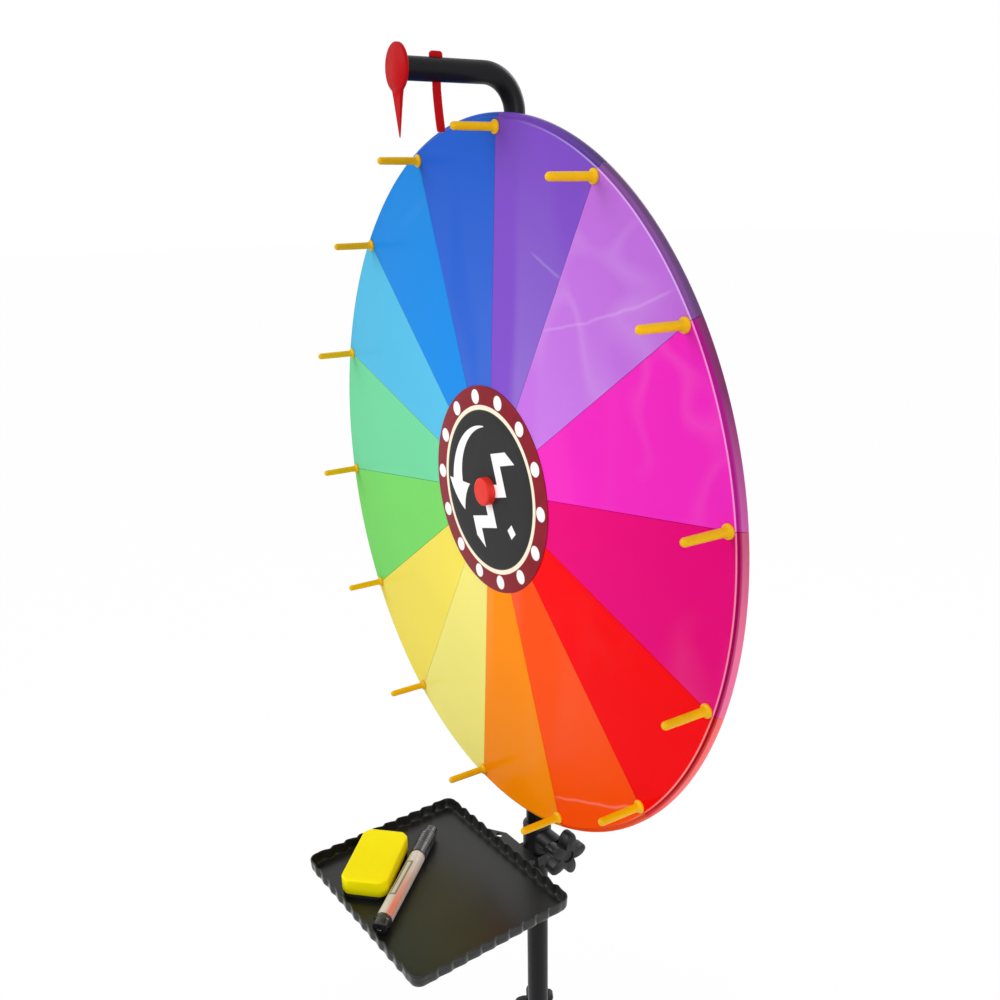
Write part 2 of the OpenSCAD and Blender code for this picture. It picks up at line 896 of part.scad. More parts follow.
// clamp that slides on the mast, with the ears of the tray hinge
module tray_clamp() {
  color([0.08, 0.08, 0.09])
    on_tray()
      difference() {
        union() {
          translate([0, 0, clamp_base])
            cylinder(r = clamp_r, h = clamp_top - clamp_base - 3);
          translate([0, 0, clamp_top - 3])
            cylinder(r1 = clamp_r, r2 = clamp_r - 3, h = 3);
          translate([0, 0, tray_knob_level])
            x_bar(22, 0, clamp_boss_end);
          for (s = [-1, 1])
            translate([s * (ear_in + ear_out) / 2, 0, tilt_z]) {
              span_box([-3, tilt_y, -ear_r], [3, 0, ear_r / 4]);
              translate([0, tilt_y, 0])
                x_bar(2 * ear_r, -3, 3);
            }
        }
        translate([0, 0, clamp_base - cut])
          cylinder(r = mast_r + run_clear, h = clamp_top - clamp_base + 2 * cut);
        translate([0, 0, tray_knob_level])
          x_bar(knob_stem + 2 * run_clear, 0, clamp_boss_end + cut);
        translate([0, tilt_y, tilt_z])
          x_bar(tilt_d + 2 * seat_clear, -ear_out - cut, ear_out + cut);
      }
}

module tray_knob() {
  color([0.07, 0.07, 0.08])
    on_tray()
      translate([0, 0, tray_knob_level])
        star_knob(mast_r + pass_clear, clamp_boss_end + knob_gap + pass_clear);
}

// hinge bolt of the tray
module tilt_bolt() {
  color([0.10, 0.10, 0.11])
    on_tray()
      translate([0, tilt_y, tilt_z]) {
        x_bar(tilt_d, -ear_out, ear_out);
        x_bar(17, ear_out, ear_out + 4);
        x_bar(17, -ear_out - 4, -ear_out);
      }
}

// trapezoid plate under the tray with the hinge knuckle
module tray_bracket() {
  plate_under = tray_under - plate_thick;
  color([0.09, 0.09, 0.10])
    on_tray()
      difference() {
        union() {
          translate([0, 0, plate_under])
            linear_extrude(height = plate_thick)
              polygon([
                [-plate_half, plate_front], [plate_half, plate_front], [plate_waist, -tray_gap],
                [plate_end, plate_rear], [-plate_end, plate_rear], [-plate_waist, -tray_gap]
              ]);
          translate([0, tilt_y, tilt_z])
            x_bar(2 * knuckle_r, -knuckle_half, knuckle_half);
          span_box([-knuckle_half, tilt_y - 5, tilt_z], [knuckle_half, tilt_y + 5, plate_under + 1]);
        }
        translate([0, tilt_y, tilt_z])
          x_bar(tilt_d + 2 * run_clear, -knuckle_half - cut, knuckle_half + cut);
        for (s = [-1, 1])
          translate([s * plate_hole_at[0], plate_hole_at[1], plate_under - cut])
            cylinder(d = plate_hole_d, h = plate_thick + 2 * cut);
        at_rivets()
          translate([0, 0, plate_under - cut])
            cylinder(d = rivet_d + 2 * seat_clear, h = plate_thick + 2 * cut);
      }
}

module at_rivets() {
  for (x = [-rivet_x, rivet_x])
    for (y = [-tray_gap - rivet_inset, plate_front + rivet_inset])
      translate([x, y, 0])
        children();
}

// rivets flush with the tray floor and headed under the plate
module tray_rivets() {
  color([0.16, 0.16, 0.17])
    on_tray()
      at_rivets() {
        translate([0, 0, tray_under - plate_thick])
          cylinder(d = rivet_d, h = plate_thick + tray_sheet);
        translate([0, 0, tray_under - plate_thick - 1.2])
          cylinder(d1 = rivet_d + 1, d2 = rivet_d + 3.6, h = 1.2);
      }
}

// one crimped side, from a to b, waving along n
function crimp_side(a, b, n) =
  let (waves = round(norm(b - a) / crimp_pitch))
  [for (i = [0 : waves * 6 - 1]) a + (b - a) * i / (waves * 6) + n * crimp_depth * sin(60 * i)];
function corner_arc(c, r, a0) = [for (i = [0 : 5]) c + polar(r, a0 + 15 * i)];

// crimped outline of the tray, drawn in by g
function tray_outline(g) =
  let (
    hx = tray_half_x - crimp_depth - g,
    hy = tray_half_y - crimp_depth - g,
    r = tray_corner - g
  )
  concat(
    crimp_side([hx, r - hy], [hx, hy - r], [1, 0]),
    corner_arc([hx - r, hy - r], r, 0),
    crimp_side([hx - r, hy], [r - hx, hy], [0, 1]),
    corner_arc([r - hx, hy - r], r, 90),
    crimp_side([-hx, hy - r], [-hx, r - hy], [-1, 0]),
    corner_arc([r - hx, r - hy], r, 180),
    crimp_side([r - hx, -hy], [hx - r, -hy], [0, -1]),
    corner_arc([hx - r, r - hy], r, 270)
  );

// shallow sheet tray with a crimped rim
module tray_pan() {
  color([0.12, 0.12, 0.12])
    on_tray()
      difference() {
        translate([0, tray_mid_y, tray_under])
          linear_extrude(height = tray_rim)
            polygon(tray_outline(0));
        translate([0, tray_mid_y, tray_level])
          linear_extrude(height = tray_rim)
            polygon(tray_outline(tray_sheet));
        at_rivets()
          translate([0, 0, tray_under - cut])
            cylinder(d = rivet_d + 2 * seat_clear, h = tray_sheet + 2 * cut);
      }
}

module on_eraser() {
  on_tray()
    translate([eraser_at[0], eraser_at[1], tray_level])
      rotate([0, 0, item_turn])
        children();
}

module eraser_outline(g) {
  hx = eraser_length / 2 - g;
  hy = eraser_width / 2 - g;
  c = eraser_chamfer;
  polygon([
    [c - hx, -hy], [hx - c, -hy], [hx, c - hy], [hx, hy - c],
    [hx - c, hy], [c - hx, hy], [-hx, hy - c], [-hx, c - hy]
  ]);
}

module eraser_body() {
  color([0.98, 0.80, 0.10])
    on_eraser()
      translate([0, 0, felt_height])
        linear_extrude(height = eraser_height - felt_height)
          eraser_outline(0);
}

module eraser_felt() {
  color([0.08, 0.08, 0.08])
    on_eraser()
      linear_extrude(height = felt_height)
        eraser_outline(0.6);
}

// the marker lies along X with its cap at the low end
module on_marker() {
  on_tray()
    translate([marker_at[0], marker_at[1], tray_level + marker_diameter / 2])
      rotate([0, 0, marker_turn])
        children();
}

module marker_barrel() {
  start = marker_cap_length - marker_length / 2;
  end = marker_length / 2;
  color([0.90, 0.86, 0.87])
    on_marker() {
      x_bar(marker_barrel_d, start, end - 6);
      x_bar(marker_barrel_d - 2.4, end - 6, end);
      x_bar(marker_barrel_d - 3.2, start - 18, start);
    }
}

module marker_cap() {
  back = -marker_length / 2;
  color([0.10, 0.10, 0.11])
    on_marker()
      difference() {
        union() {
          x_bar(marker_diameter, back + 2, back + marker_cap_length);
          translate([back, 0, 0])
            rotate([0, 90, 0])
              cylinder(d1 = marker_diameter - 3, d2 = marker_diameter, h = 2);
        }
        x_bar(marker_barrel_d - 3.2 + 2 * seat_clear, back + 12, back + marker_cap_length + cut);
      }
}

lower_tube();
pole_foot();
leg_collar();
leg_pins();
mast_sleeve();
mast_knob();
leg_1();
leg_2();
leg_3();
foot_1();
foot_2();
foot_3();
brace_1();
brace_2();
brace_3();
spreader_ring();
mast_tube();
mast_glide();
hub_bracket();
axle_bolt();
axle_nut();
axle_spacers();
bearing_inner();
bracket_screws();
arm_tube();
pointer();
flapper_head();
flapper_blade();
sector_01();
sector_02();
sector_03();
sector_04();
sector_05();
sector_06();
sector_07();
sector_08();
sector_09();
sector_10();
sector_11();
sector_12();
sector_13();
sector_14();
wheel_board();
pegs();
hub_flange();
flange_bolts();
bearing_outer();
bearing_balls();
centre_disc();
centre_cap();
tray_clamp();
tray_knob();
tray_bracket();
tray_pan();
tray_rivets();
tilt_bolt();
eraser_body();
eraser_felt();
marker_barrel();
marker_cap();
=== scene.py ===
import bmesh
import bpy
import json
import math
from mathutils import Matrix, Vector


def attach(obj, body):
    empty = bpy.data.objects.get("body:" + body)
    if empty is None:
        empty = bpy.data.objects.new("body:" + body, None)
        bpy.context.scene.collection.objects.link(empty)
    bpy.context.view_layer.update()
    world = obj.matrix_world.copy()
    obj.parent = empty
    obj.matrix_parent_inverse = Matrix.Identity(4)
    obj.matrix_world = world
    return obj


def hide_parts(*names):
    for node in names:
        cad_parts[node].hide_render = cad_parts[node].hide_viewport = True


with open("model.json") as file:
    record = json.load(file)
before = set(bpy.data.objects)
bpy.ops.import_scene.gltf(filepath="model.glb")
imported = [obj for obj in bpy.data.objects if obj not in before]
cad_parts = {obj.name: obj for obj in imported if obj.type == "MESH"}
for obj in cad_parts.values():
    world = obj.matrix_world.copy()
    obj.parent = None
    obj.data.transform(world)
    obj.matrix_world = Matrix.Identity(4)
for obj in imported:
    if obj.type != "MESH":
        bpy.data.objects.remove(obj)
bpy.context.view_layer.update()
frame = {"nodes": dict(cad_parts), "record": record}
print("stage: frame loaded")

# the pieces' sizes are in millimetres and their angles in degrees
mm = 0.001
fullTurn = 2 * math.pi
hub = Vector((0.0, -49.0, 1120.0)) * mm  # middle of the wheel's face
wheelPlace = Matrix.Translation(hub) @ Matrix.Rotation(math.radians(90), 4, "X")
sectorCount = 14
sectorAngle = fullTurn / sectorCount
firstPeg = math.radians(4.15)  # clockwise from the top
trayYaw = math.radians(4.5)
trayPlace = Matrix.Rotation(trayYaw, 4, "Z")
trayBase = 737.8
trayFloor = trayBase + 1.2
tiny = 0.05  # radius of the ring that closes a turned end


# one shader socket with arithmetic on it
class Shade:
    def __init__(self, tree, socket):
        self.tree = tree
        self.socket = socket

    def make(self, kind, settings=None, values=None, out=0):
        made = self.tree.nodes.new(kind)
        for key, value in (settings or {}).items():
            setattr(made, key, value)
        for key, value in (values or {}).items():
            self.put(made.inputs[key], value)
        return Shade(self.tree, made.outputs[out])

    def put(self, target, value):
        if isinstance(value, Shade):
            self.tree.links.new(value.socket, target)
        elif hasattr(value, "__len__") and len(value) == 3 and len(target.default_value) == 4:
            target.default_value = (*value, 1.0)
        else:
            target.default_value = value

    def math(self, operation, *others):
        return self.make("ShaderNodeMath", {"operation": operation}, dict(enumerate((self, *others))))

    def __add__(self, other):
        return self.math("ADD", other)

    def __radd__(self, other):
        return self.math("ADD", other)

    def __sub__(self, other):
        return self.math("SUBTRACT", other)

    def __rsub__(self, other):
        return self * -1.0 + other

    def __mul__(self, other):
        return self.math("MULTIPLY", other)

    def __rmul__(self, other):
        return self.math("MULTIPLY", other)

    def __truediv__(self, other):
        return self.math("DIVIDE", other)

    def __rtruediv__(self, other):
        return self.math("POWER", -1.0) * other

    # 1 below an edge and 0 above it, over a soft step
    def below(self, edge, soft):
        values = {0: self, 1: edge - soft, 2: edge + soft, 3: 1.0, 4: 0.0}
        return self.make("ShaderNodeMapRange", {"interpolation_type": "SMOOTHSTEP"}, values)

    # 1 inside a band about its middle
    def within(self, middle, half, soft):
        return (self - middle).math("ABSOLUTE").below(half, soft)

    def spread(self, low, high, outLow=0.0, outHigh=1.0):
        return self.make("ShaderNodeMapRange", {}, {0: self, 1: low, 2: high, 3: outLow, 4: outHigh})

    # the middle of a noise stretched over a range
    def stretch(self, outLow=0.0, outHigh=1.0):
        return self.spread(0.3, 0.7, outLow, outHigh)

    def blend(self, a, b):
        return self.make("ShaderNodeMix", {"data_type": "RGBA"}, {0: self, 6: a, 7: b}, 2)

    def scaled(self, factors):
        return self.make("ShaderNodeVectorMath", {"operation": "MULTIPLY"}, {0: self, 1: factors})

    def moved(self, step):
        return self.make("ShaderNodeVectorMath", {"operation": "ADD"}, {0: self, 1: step})

    def dot(self, direction):
        return self.make("ShaderNodeVectorMath", {"operation": "DOT_PRODUCT"}, {0: self, 1: direction}, 1)

    def axes(self):
        parts = self.make("ShaderNodeSeparateXYZ", {}, {0: self}).socket.node
        return [Shade(self.tree, output) for output in parts.outputs]

    def noise(self, scale, detail=3.0, rough=0.5, twist=0.0):
        values = {"Vector": self, "Scale": scale, "Detail": detail, "Roughness": rough, "Distortion": twist}
        return self.make("ShaderNodeTexNoise", {}, values)

    def bump(self, strength, distance):
        return self.make("ShaderNodeBump", {}, {"Strength": strength, "Distance": distance, "Height": self})


# a new material: its shader node and its object coordinates
def startMaterial(name, **fixed):
    material = bpy.data.materials.new(name)
    material.use_nodes = True
    tree = material.node_tree
    shader = next(n for n in tree.nodes if n.type == "BSDF_PRINCIPLED")
    for key, value in fixed.items():
        shader.inputs[key.replace("_", " ")].default_value = value
    place = Shade(tree, tree.nodes.new("ShaderNodeTexCoord").outputs["Object"])
    return material, shader, place


def link(shader, **driven):
    for key, value in driven.items():
        value.put(shader.inputs[key.replace("_", " ")], value)


# 1 for the rays that show the surround: straight, mirrored or through clear parts
def seenRays(tree):
    path = tree.nodes.new("ShaderNodeLightPath")
    seen = Shade(tree, path.outputs["Is Camera Ray"])
    for key in ("Is Glossy Ray", "Is Transmission Ray"):
        seen = seen.math("MAXIMUM", Shade(tree, path.outputs[key]))
    return seen


def fromSrgb(*channels):
    shares = [channel / 255 for channel in channels]
    return tuple(c / 12.92 if c <= 0.04045 else ((c + 0.055) / 1.055) ** 2.4 for c in shares)


def scaleColour(colour, factor):
    return tuple(min(1.0, c * factor) for c in colour)


def paler(colour, share):
    return tuple(c + (1.0 - c) * share for c in colour)


# dark colour for the painted reflection on the upper skirt
def paintedDarkReflection(colour):
    return tuple(c * 0.2 + 0.03 for c in colour)


# a plain finish with a mottle, a worn sheen and a fine grain
def finish(name, colour, rough, mottle, grain, depth, specular=0.5, metal=0.0, coat=0.0, streak=(1, 1, 1)):
    fixed = {"Metallic": metal, "Coat_Weight": coat, "Specular_IOR_Level": specular}
    material, shader, place = startMaterial(name, **fixed)
    streaked = place.scaled(streak)
    cloud = streaked.noise(18.0, 4.0, 0.6).stretch()
    shade = cloud.blend(scaleColour(colour, 1 - mottle), scaleColour(colour, 1 + mottle))
    worn = place.noise(140.0, 5.0, 0.7).spread(0.35, 0.75, -0.04, 0.06)
    fine = streaked.noise(grain, 2.0, 0.5)
    link(shader, Base_Color=shade, Roughness=worn + rough, Normal=fine.bump(0.25, depth * mm))
    return material


blackTube = finish("blackTube", (0.006, 0.006, 0.0075), 0.36,
                   mottle=0.15, grain=420.0, depth=0.03, specular=0.16)
blackMoulding = finish("blackMoulding", (0.010, 0.010, 0.011), 0.4,
                       mottle=0.2, grain=1600.0, depth=0.08, specular=0.28)
blackCasting = finish("blackCasting", (0.010, 0.010, 0.011), 0.42,
                      mottle=0.2, grain=700.0, depth=0.14, specular=0.28)
boardBlack = finish("boardBlack", (0.022, 0.022, 0.024), 0.5,
                    mottle=0.16, grain=500.0, depth=0.08)
footRubber = finish("footRubber", (0.016, 0.016, 0.016), 0.72,
                    mottle=0.2, grain=1100.0, depth=0.14, specular=0.3)
zincSteel = finish("zincSteel", (0.55, 0.56, 0.58), 0.32,
                   mottle=0.1, grain=800.0, depth=0.03, metal=1.0, streak=(1, 1, 0.1))
bearingSteel = finish("bearingSteel", (0.66, 0.67, 0.69), 0.16,
                      mottle=0.05, grain=1200.0, depth=0.01, metal=1.0)
hubAlloy = finish("hubAlloy", (0.58, 0.59, 0.61), 0.38,
                  mottle=0.08, grain=600.0, depth=0.08, metal=1.0)
pegYellow = finish("pegYellow", fromSrgb(230, 176, 0), 0.28,
                   mottle=0.14, grain=700.0, depth=0.03, specular=0.16)
capRed = finish("capRed", fromSrgb(228, 50, 40), 0.35,
                mottle=0.05, grain=700.0, depth=0.02, specular=0.15)
pointerRed = finish("pointerRed", fromSrgb(180, 14, 20), 0.45,
                    mottle=0.05, grain=900.0, depth=0.04, specular=0.04)
eraserYellow = finish("eraserYellow", fromSrgb(246, 234, 0), 0.55,
                      mottle=0.03, grain=1500.0, depth=0.08, specular=0.12)
eraserFelt = finish("eraserFelt", (0.018, 0.018, 0.018), 0.95,
                    mottle=0.3, grain=1400.0, depth=0.4, specular=0.1)
markerBlack = finish("markerBlack", (0.014, 0.014, 0.015), 0.25,
                     mottle=0.1, grain=900.0, depth=0.02, coat=0.2)


# powder coat of the tray: smooth black that takes soft reflections
def trayCoat():
    material, shader, place = startMaterial("trayCoat", Specular_IOR_Level=0.42)
    shade = place.noise(14.0, 4.0, 0.6).stretch().blend((0.008, 0.008, 0.007), (0.013, 0.013, 0.012))
    rough = place.noise(9.0, 2.0, 0.5).stretch(0.27, 0.33)
    link(shader, Base_Color=shade, Roughness=rough, Normal=place.noise(1600.0, 2.0).bump(0.08, 0.02 * mm))
    return material


trayBlack = trayCoat()
print("stage: plain materials")


# skin over one or more stacks of rings, smooth between its sharp edges, riding on its body
def loft(name, stacks, material, body, caps=True, sharp=35.0):
    points, faces = [], []
    for rings in stacks:
        first, count = len(points), len(rings[0])
        last = first + (len(rings) - 1) * count
        for low in range(first, last, count):
            for step in range(count):
                after = (step + 1) % count
                faces.append((low + step, low + after, low + count + after, low + count + step))
        if caps:
            faces.append(tuple(reversed(range(first, first + count))))
            faces.append(tuple(range(last, last + count)))
        points += [tuple(point) for ring in rings for point in ring]
    mesh = bpy.data.meshes.new(name)
    mesh.from_pydata(points, [], faces)
    mesh.validate()
    mesh.update()
    obj = bpy.data.objects.new(name, mesh)
    bpy.context.scene.collection.objects.link(obj)
    mesh.materials.append(material)
    for polygon in mesh.polygons:
        polygon.use_smooth = True
    mesh.set_sharp_from_angle(angle=math.radians(sharp))
    faceOutward(mesh)
    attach(obj, body)
    return obj


def faceOutward(mesh):
    work = bmesh.new()
    work.from_mesh(mesh)
    bmesh.ops.recalc_face_normals(work, faces=work.faces)
    work.to_mesh(mesh)
    work.free()


# points round a place's own Z axis
def circle(place, radius, height, steps):
    angles = [fullTurn * step / steps for step in range(steps)]
    return [place @ (Vector((radius * math.cos(a), radius * math.sin(a), height)) * mm) for a in angles]


# turned shapes: a section of (radius, height) at each of the places
def turned(name, section, places, material, body, steps=48, sharp=35.0):
    stacks = [[circle(place, radius, height, steps) for radius, height in section] for place in places]
    return loft(name, stacks, material, body, sharp=sharp)


# a section of (radius, height) carried clockwise round the wheel, short of both ends by a gap
def carriedRound(section, start, angle, steps, gap=0.0):
    rings = []
    for step in range(steps + 1):
        ring = []
        for radius, height in section:
            inset = gap / radius
            a = start - inset - (angle - 2 * inset) * step / steps
            ring.append(wheelPlace @ (Vector((radius * math.cos(a), radius * math.sin(a), height)) * mm))
        rings.append(ring)
    return rings


def arcPoints(middleX, middleY, radius, start, end, steps):
    angles = [math.radians(start + (end - start) * step / steps) for step in range(steps + 1)]
    return [(middleX + radius * math.cos(a), middleY + radius * math.sin(a)) for a in angles]


# outline of a rectangle with round corners
def roundedBox(halfX, halfY, corner):
    corner = min(corner, halfX, halfY)
    inX, inY = halfX - corner, halfY - corner
    outline = []
    for quarter, (middleX, middleY) in enumerate(((inX, inY), (-inX, inY), (-inX, -inY), (inX, -inY))):
        outline += arcPoints(middleX, middleY, corner, 90 * quarter, 90 * quarter + 90, 5)
    return outline


def pegAngle(index):
    return math.pi / 2 - firstPeg - index * sectorAngle


# face plates clockwise from the first peg; a painted crease highlight runs between two points from the hub,
# right and up
faces = [
    {"node": "sector_01", "slot": "face_violet", "colour": (128, 80, 200), "ripple": 1.6, "drape": 0.9,
     "creaseHighlights": [((72, 203), (108, 187))]},
    {"node": "sector_02", "slot": "face_orchid", "colour": (192, 112, 222), "ripple": 1.9, "drape": 0.35,
     "creaseHighlights": [((88, 146), (194, 172)), ((194, 172), (227, 186))]},
    {"node": "sector_03", "slot": "face_magenta", "colour": (242, 40, 192), "ripple": 0.7, "drape": 0.1},
    {"node": "sector_04", "slot": "face_crimson", "colour": (230, 0, 120), "ripple": 0.4, "drape": 0.0},
    {"node": "sector_05", "slot": "face_red", "colour": (248, 0, 8), "ripple": 0.3, "drape": 0.0},
    {"node": "sector_06", "slot": "face_vermilion", "colour": (252, 78, 8), "ripple": 1.0, "drape": 0.3,
     "creaseHighlights": [((105, -256), (216, -203))]},
    {"node": "sector_07", "slot": "face_orange", "colour": (250, 138, 0), "ripple": 1.0, "drape": 0.3},
    {"node": "sector_08", "slot": "face_lemon", "colour": (240, 230, 122), "ripple": 0.5, "drape": 0.1},
    {"node": "sector_09", "slot": "face_yellow", "colour": (240, 222, 88), "ripple": 0.5, "drape": 0.1},
    {"node": "sector_10", "slot": "face_green", "colour": (118, 214, 100), "ripple": 0.5, "drape": 0.1},
    {"node": "sector_11", "slot": "face_mint", "colour": (114, 216, 160), "ripple": 0.5, "drape": 0.1},
    {"node": "sector_12", "slot": "face_sky", "colour": (84, 190, 230), "ripple": 0.6, "drape": 0.1},
    {"node": "sector_13", "slot": "face_blue", "colour": (24, 138, 226), "ripple": 0.5, "drape": 0.1},
    {"node": "sector_14", "slot": "face_royal", "colour": (32, 94, 206), "ripple": 0.6, "drape": 0.4},
]
plate = {
    "hole": 40.0, "stations": (120.0, 210.0, 285.0), "flatEnd": 299.0, "thick": 3.0, "gap": 0.2, "steps": 28,
    "lip": (300.2, -0.5, 0.7), "hollow": [(301.2, -1.2), (302.0, -1.9)], "skirt": (302.0, -4.6, 3.0),
    "skirtEdge": [(305.0, -6.4), (304.6, -7.0), (302.0, -7.0)], "skirtInside": 302.0,
}
# film: random tone, painted shade towards the rim, painted sheen and highlights on streaks, folds and
# creases, and bump heights
film = {
    "tone": 0.05, "paintedShadeFrom": 110.0, "paintedShadeTo": 290.0, "paintedShadeTone": 0.88, "specular": 0.03, "bump": 1.6,
    "drapeSheenTint": 0.2, "drapeRise": 0.12, "foldHighlightTint": 0.07, "foldRise": 0.05,
    "creaseHighlightTint": 0.17, "creaseHalf": 0.9, "creaseSoft": 1.1, "creaseFade": 8.0, "creaseWobble": 9.0,
}
# rim: where the flat face ends, depths of the painted lip highlight and hollow shade, rise of the skirt's
# painted reflection, and where the painted bands show
rim = {
    "start": 299.7, "lipDepth": 0.3, "hollowDepth": 2.0, "skirtReflectionFade": (-40.0, 130.0),
    "paintedBandsRight": (40.0, 150.0), "paintedBandsUp": (-235.0, -170.0),
}


# the rim's painted light: a painted highlight on the lip, painted shade in the hollow, a painted reflection
# on the skirt that is pale below and dark above, and the rim painted darker where it turns away from the
# light
def rimPaintedLight(colour, east, up, depth):
    skirt = up.spread(*rim["skirtReflectionFade"]).blend(paler(colour, 0.17), paintedDarkReflection(colour))
    hollow = depth.below(rim["hollowDepth"], 0.25).blend(skirt, scaleColour(colour, 0.42))
    lip = depth.below(rim["lipDepth"], 0.12).blend(hollow, paler(colour, 0.22))
    shown = east.spread(*rim["paintedBandsRight"]) * up.spread(*rim["paintedBandsUp"])
    return shown.blend(scaleColour(colour, 0.8), lip)


# glossy film over a face plate: broad ripples, draped streaks with a painted sheen, folds with painted
# highlights, painted crease highlights, and painted shade darker towards the rim
def faceFilm(entry, seed):
    colour = fromSrgb(*entry["colour"])
    ripple, drape = entry["ripple"], entry["drape"]
    material, shader, place = startMaterial(entry["slot"], Specular_IOR_Level=film["specular"])
    x, y, z = place.axes()
    east = x / mm
    up = (z - hub.z) / mm
    depth = (y - hub.y) / mm
    radius = (east * east + up * up).math("SQRT")
    shifted = place.moved((seed * 0.37, 0.0, seed * 0.61))
    broad = shifted.noise(5.0, 2.0, 0.5, 0.6)
    streaks = shifted.scaled((9.0, 1.0, 1.6)).noise(1.6, 1.0, 0.4, 0.3).below(0.5, 0.06)
    ridges = (shifted.noise(7.0, 1.0, 0.4, 1.0) - 0.5).math("ABSOLUTE").spread(0.0, 0.05, 1.0, 0.0)
    folds = ridges * shifted.noise(6.0, 1.0).spread(0.52, 0.68)
    darker, lighter = scaleColour(colour, 1 - film["tone"]), scaleColour(colour, 1 + film["tone"])
    tone = broad.stretch().blend(darker, lighter)
    # painted sheen: the drape streaks are paled towards white; the streaks also raise the bump
    tone = (streaks * (film["drapeSheenTint"] * drape)).blend(tone, paler(colour, 0.4))
    # painted shade: the plate darkens from the hub out towards the rim
    paintedShade = radius.spread(film["paintedShadeFrom"], film["paintedShadeTo"])
    tone = paintedShade.blend(tone, scaleColour(colour, film["paintedShadeTone"]))
    # painted highlight along the folds; the folds also raise the bump
    tone = (folds * (film["foldHighlightTint"] * ripple)).blend(tone, paler(colour, 0.5))
    # painted highlight lines along the creases; they change only the colour, not the bump
    wobble = (shifted.noise(22.0, 2.0) - 0.5) * film["creaseWobble"]
    for (startX, startZ), (endX, endZ) in entry.get("creaseHighlights", []):
        span = math.hypot(endX - startX, endZ - startZ)
        aheadX, aheadZ = (endX - startX) / span, (endZ - startZ) / span
        along = (east - startX) * aheadX + (up - startZ) * aheadZ
        off = (east - startX) * -aheadZ + (up - startZ) * aheadX + wobble
        line = off.math("ABSOLUTE").below(film["creaseHalf"], film["creaseSoft"])
        line = line * along.within(span / 2, span / 2, film["creaseFade"])
        tone = (line * film["creaseHighlightTint"]).blend(tone, paler(colour, 0.6))
    # painted light on the rim beyond the flat face
    tone = radius.below(rim["start"], 0.15).blend(rimPaintedLight(colour, east, up, depth), tone)
    height = broad + streaks * (film["drapeRise"] * drape) + folds * (film["foldRise"] * ripple)
    rough = shifted.noise(30.0, 4.0, 0.6).stretch(0.16, 0.26)
    link(shader, Base_Color=tone, Roughness=rough, Normal=height.bump(0.5, film["bump"] * ripple * mm))
    return material


# flat sheet, raised lip, hollow and rounded skirt
def plateSection():
    back = -plate["thick"]
    section = [(plate["hole"], back), (plate["hole"], 0.0)]
    section += [(radius, 0.0) for radius in (*plate["stations"], plate["flatEnd"])]
    section += arcPoints(*plate["lip"], 120, 10, 6)
    section += plate["hollow"]
    section += arcPoints(*plate["skirt"], 62, 0, 6)
    section += plate["skirtEdge"]
    section += [(radius, back) for radius in (plate["skirtInside"], *reversed(plate["stations"]))]
    return section


def buildFace(index, entry):
    material = faceFilm(entry, index + 1)
    rings = carriedRound(plateSection(), pegAngle(index), sectorAngle, plate["steps"], plate["gap"])
    obj = loft("face_" + entry["node"], [rings], material, "wheel", sharp=40.0)
    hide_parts(entry["node"])


for index, entry in enumerate(faces):
    buildFace(index, entry)
print("stage: face plates")

# pegs: slim rods with a round tip, a flared collar and a hidden rear flange
peg = {
    "circle": 294.5, "steps": 28, "tip": (0.0, 36.3, 3.1),
    "flange": [(tiny, -8.6), (4.6, -8.6), (4.6, -7.2), (3.2, -6.9), (3.2, -0.2)],
    "collar": [(5.1, 0.0), (5.3, 0.3), (5.3, 1.5), (5.0, 1.9), (4.2, 2.3), (3.7, 2.9), (3.4, 3.8)],
    "rod": [(3.2, 5.2), (3.2, 20.0), (3.1, 33.0)],
}


def buildPegs():
    section = peg["flange"] + peg["collar"] + peg["rod"] + arcPoints(*peg["tip"], 0, 86, 7)
    places = []
    for index in range(sectorCount):
        a = pegAngle(index)
        offset = Vector((math.cos(a), math.sin(a), 0.0)) * (peg["circle"] * mm)
        places.append(wheelPlace @ Matrix.Translation(offset))
    obj = turned("pegRods", section, places, pegYellow, "wheel", peg["steps"], 40.0)
    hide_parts("pegs")


buildPegs()

# centre disc and the print on it, with radii from the hub and clock angles
disc = {
    "section": [(11.0, 0.0), (11.0, 1.0), (60.0, 1.0), (91.4, 1.0), (91.9, 0.75), (92.0, 0.0)], "steps": 144,
    "paleRing": 75.2, "oliveLine": 71.2, "field": 70.4, "ringEdge": 0.25,
    "dotCircle": 82.6, "dotRadius": 6.3, "firstDot": -12.83,
}
arrow = {
    "tail": -6.0, "neck": -92.0, "neckOverlap": 0.5, "tip": -124.0, "edge": 0.3, "endEdge": 0.4,
    "halfWidth": (8.6, 0.4), "middle": (53.2, 56.6), "headMiddle": 50.0, "headSlope": 0.58,
}
ribbon = {
    "start": (30.0, 42.0), "ahead": (-0.451, -0.892), "wave": 36.0, "swing": 40.0, "half": 8.5,
    "middle": 52.0, "halfLength": 50.0, "diamond": (38.0, -28.0), "diamondHalf": 6.5, "edge": 0.35,
}


# round dots on the outer ring
def printedDots(radius, turn):
    step = ((turn - math.radians(disc["firstDot"])) / sectorAngle + 0.5).math("FRACT") - 0.5
    swing = step * sectorAngle
    across = radius * swing.math("COSINE") - disc["dotCircle"]
    along = radius * swing.math("SINE")
    return (across * across + along * along).math("SQRT").below(disc["dotRadius"], 0.3)


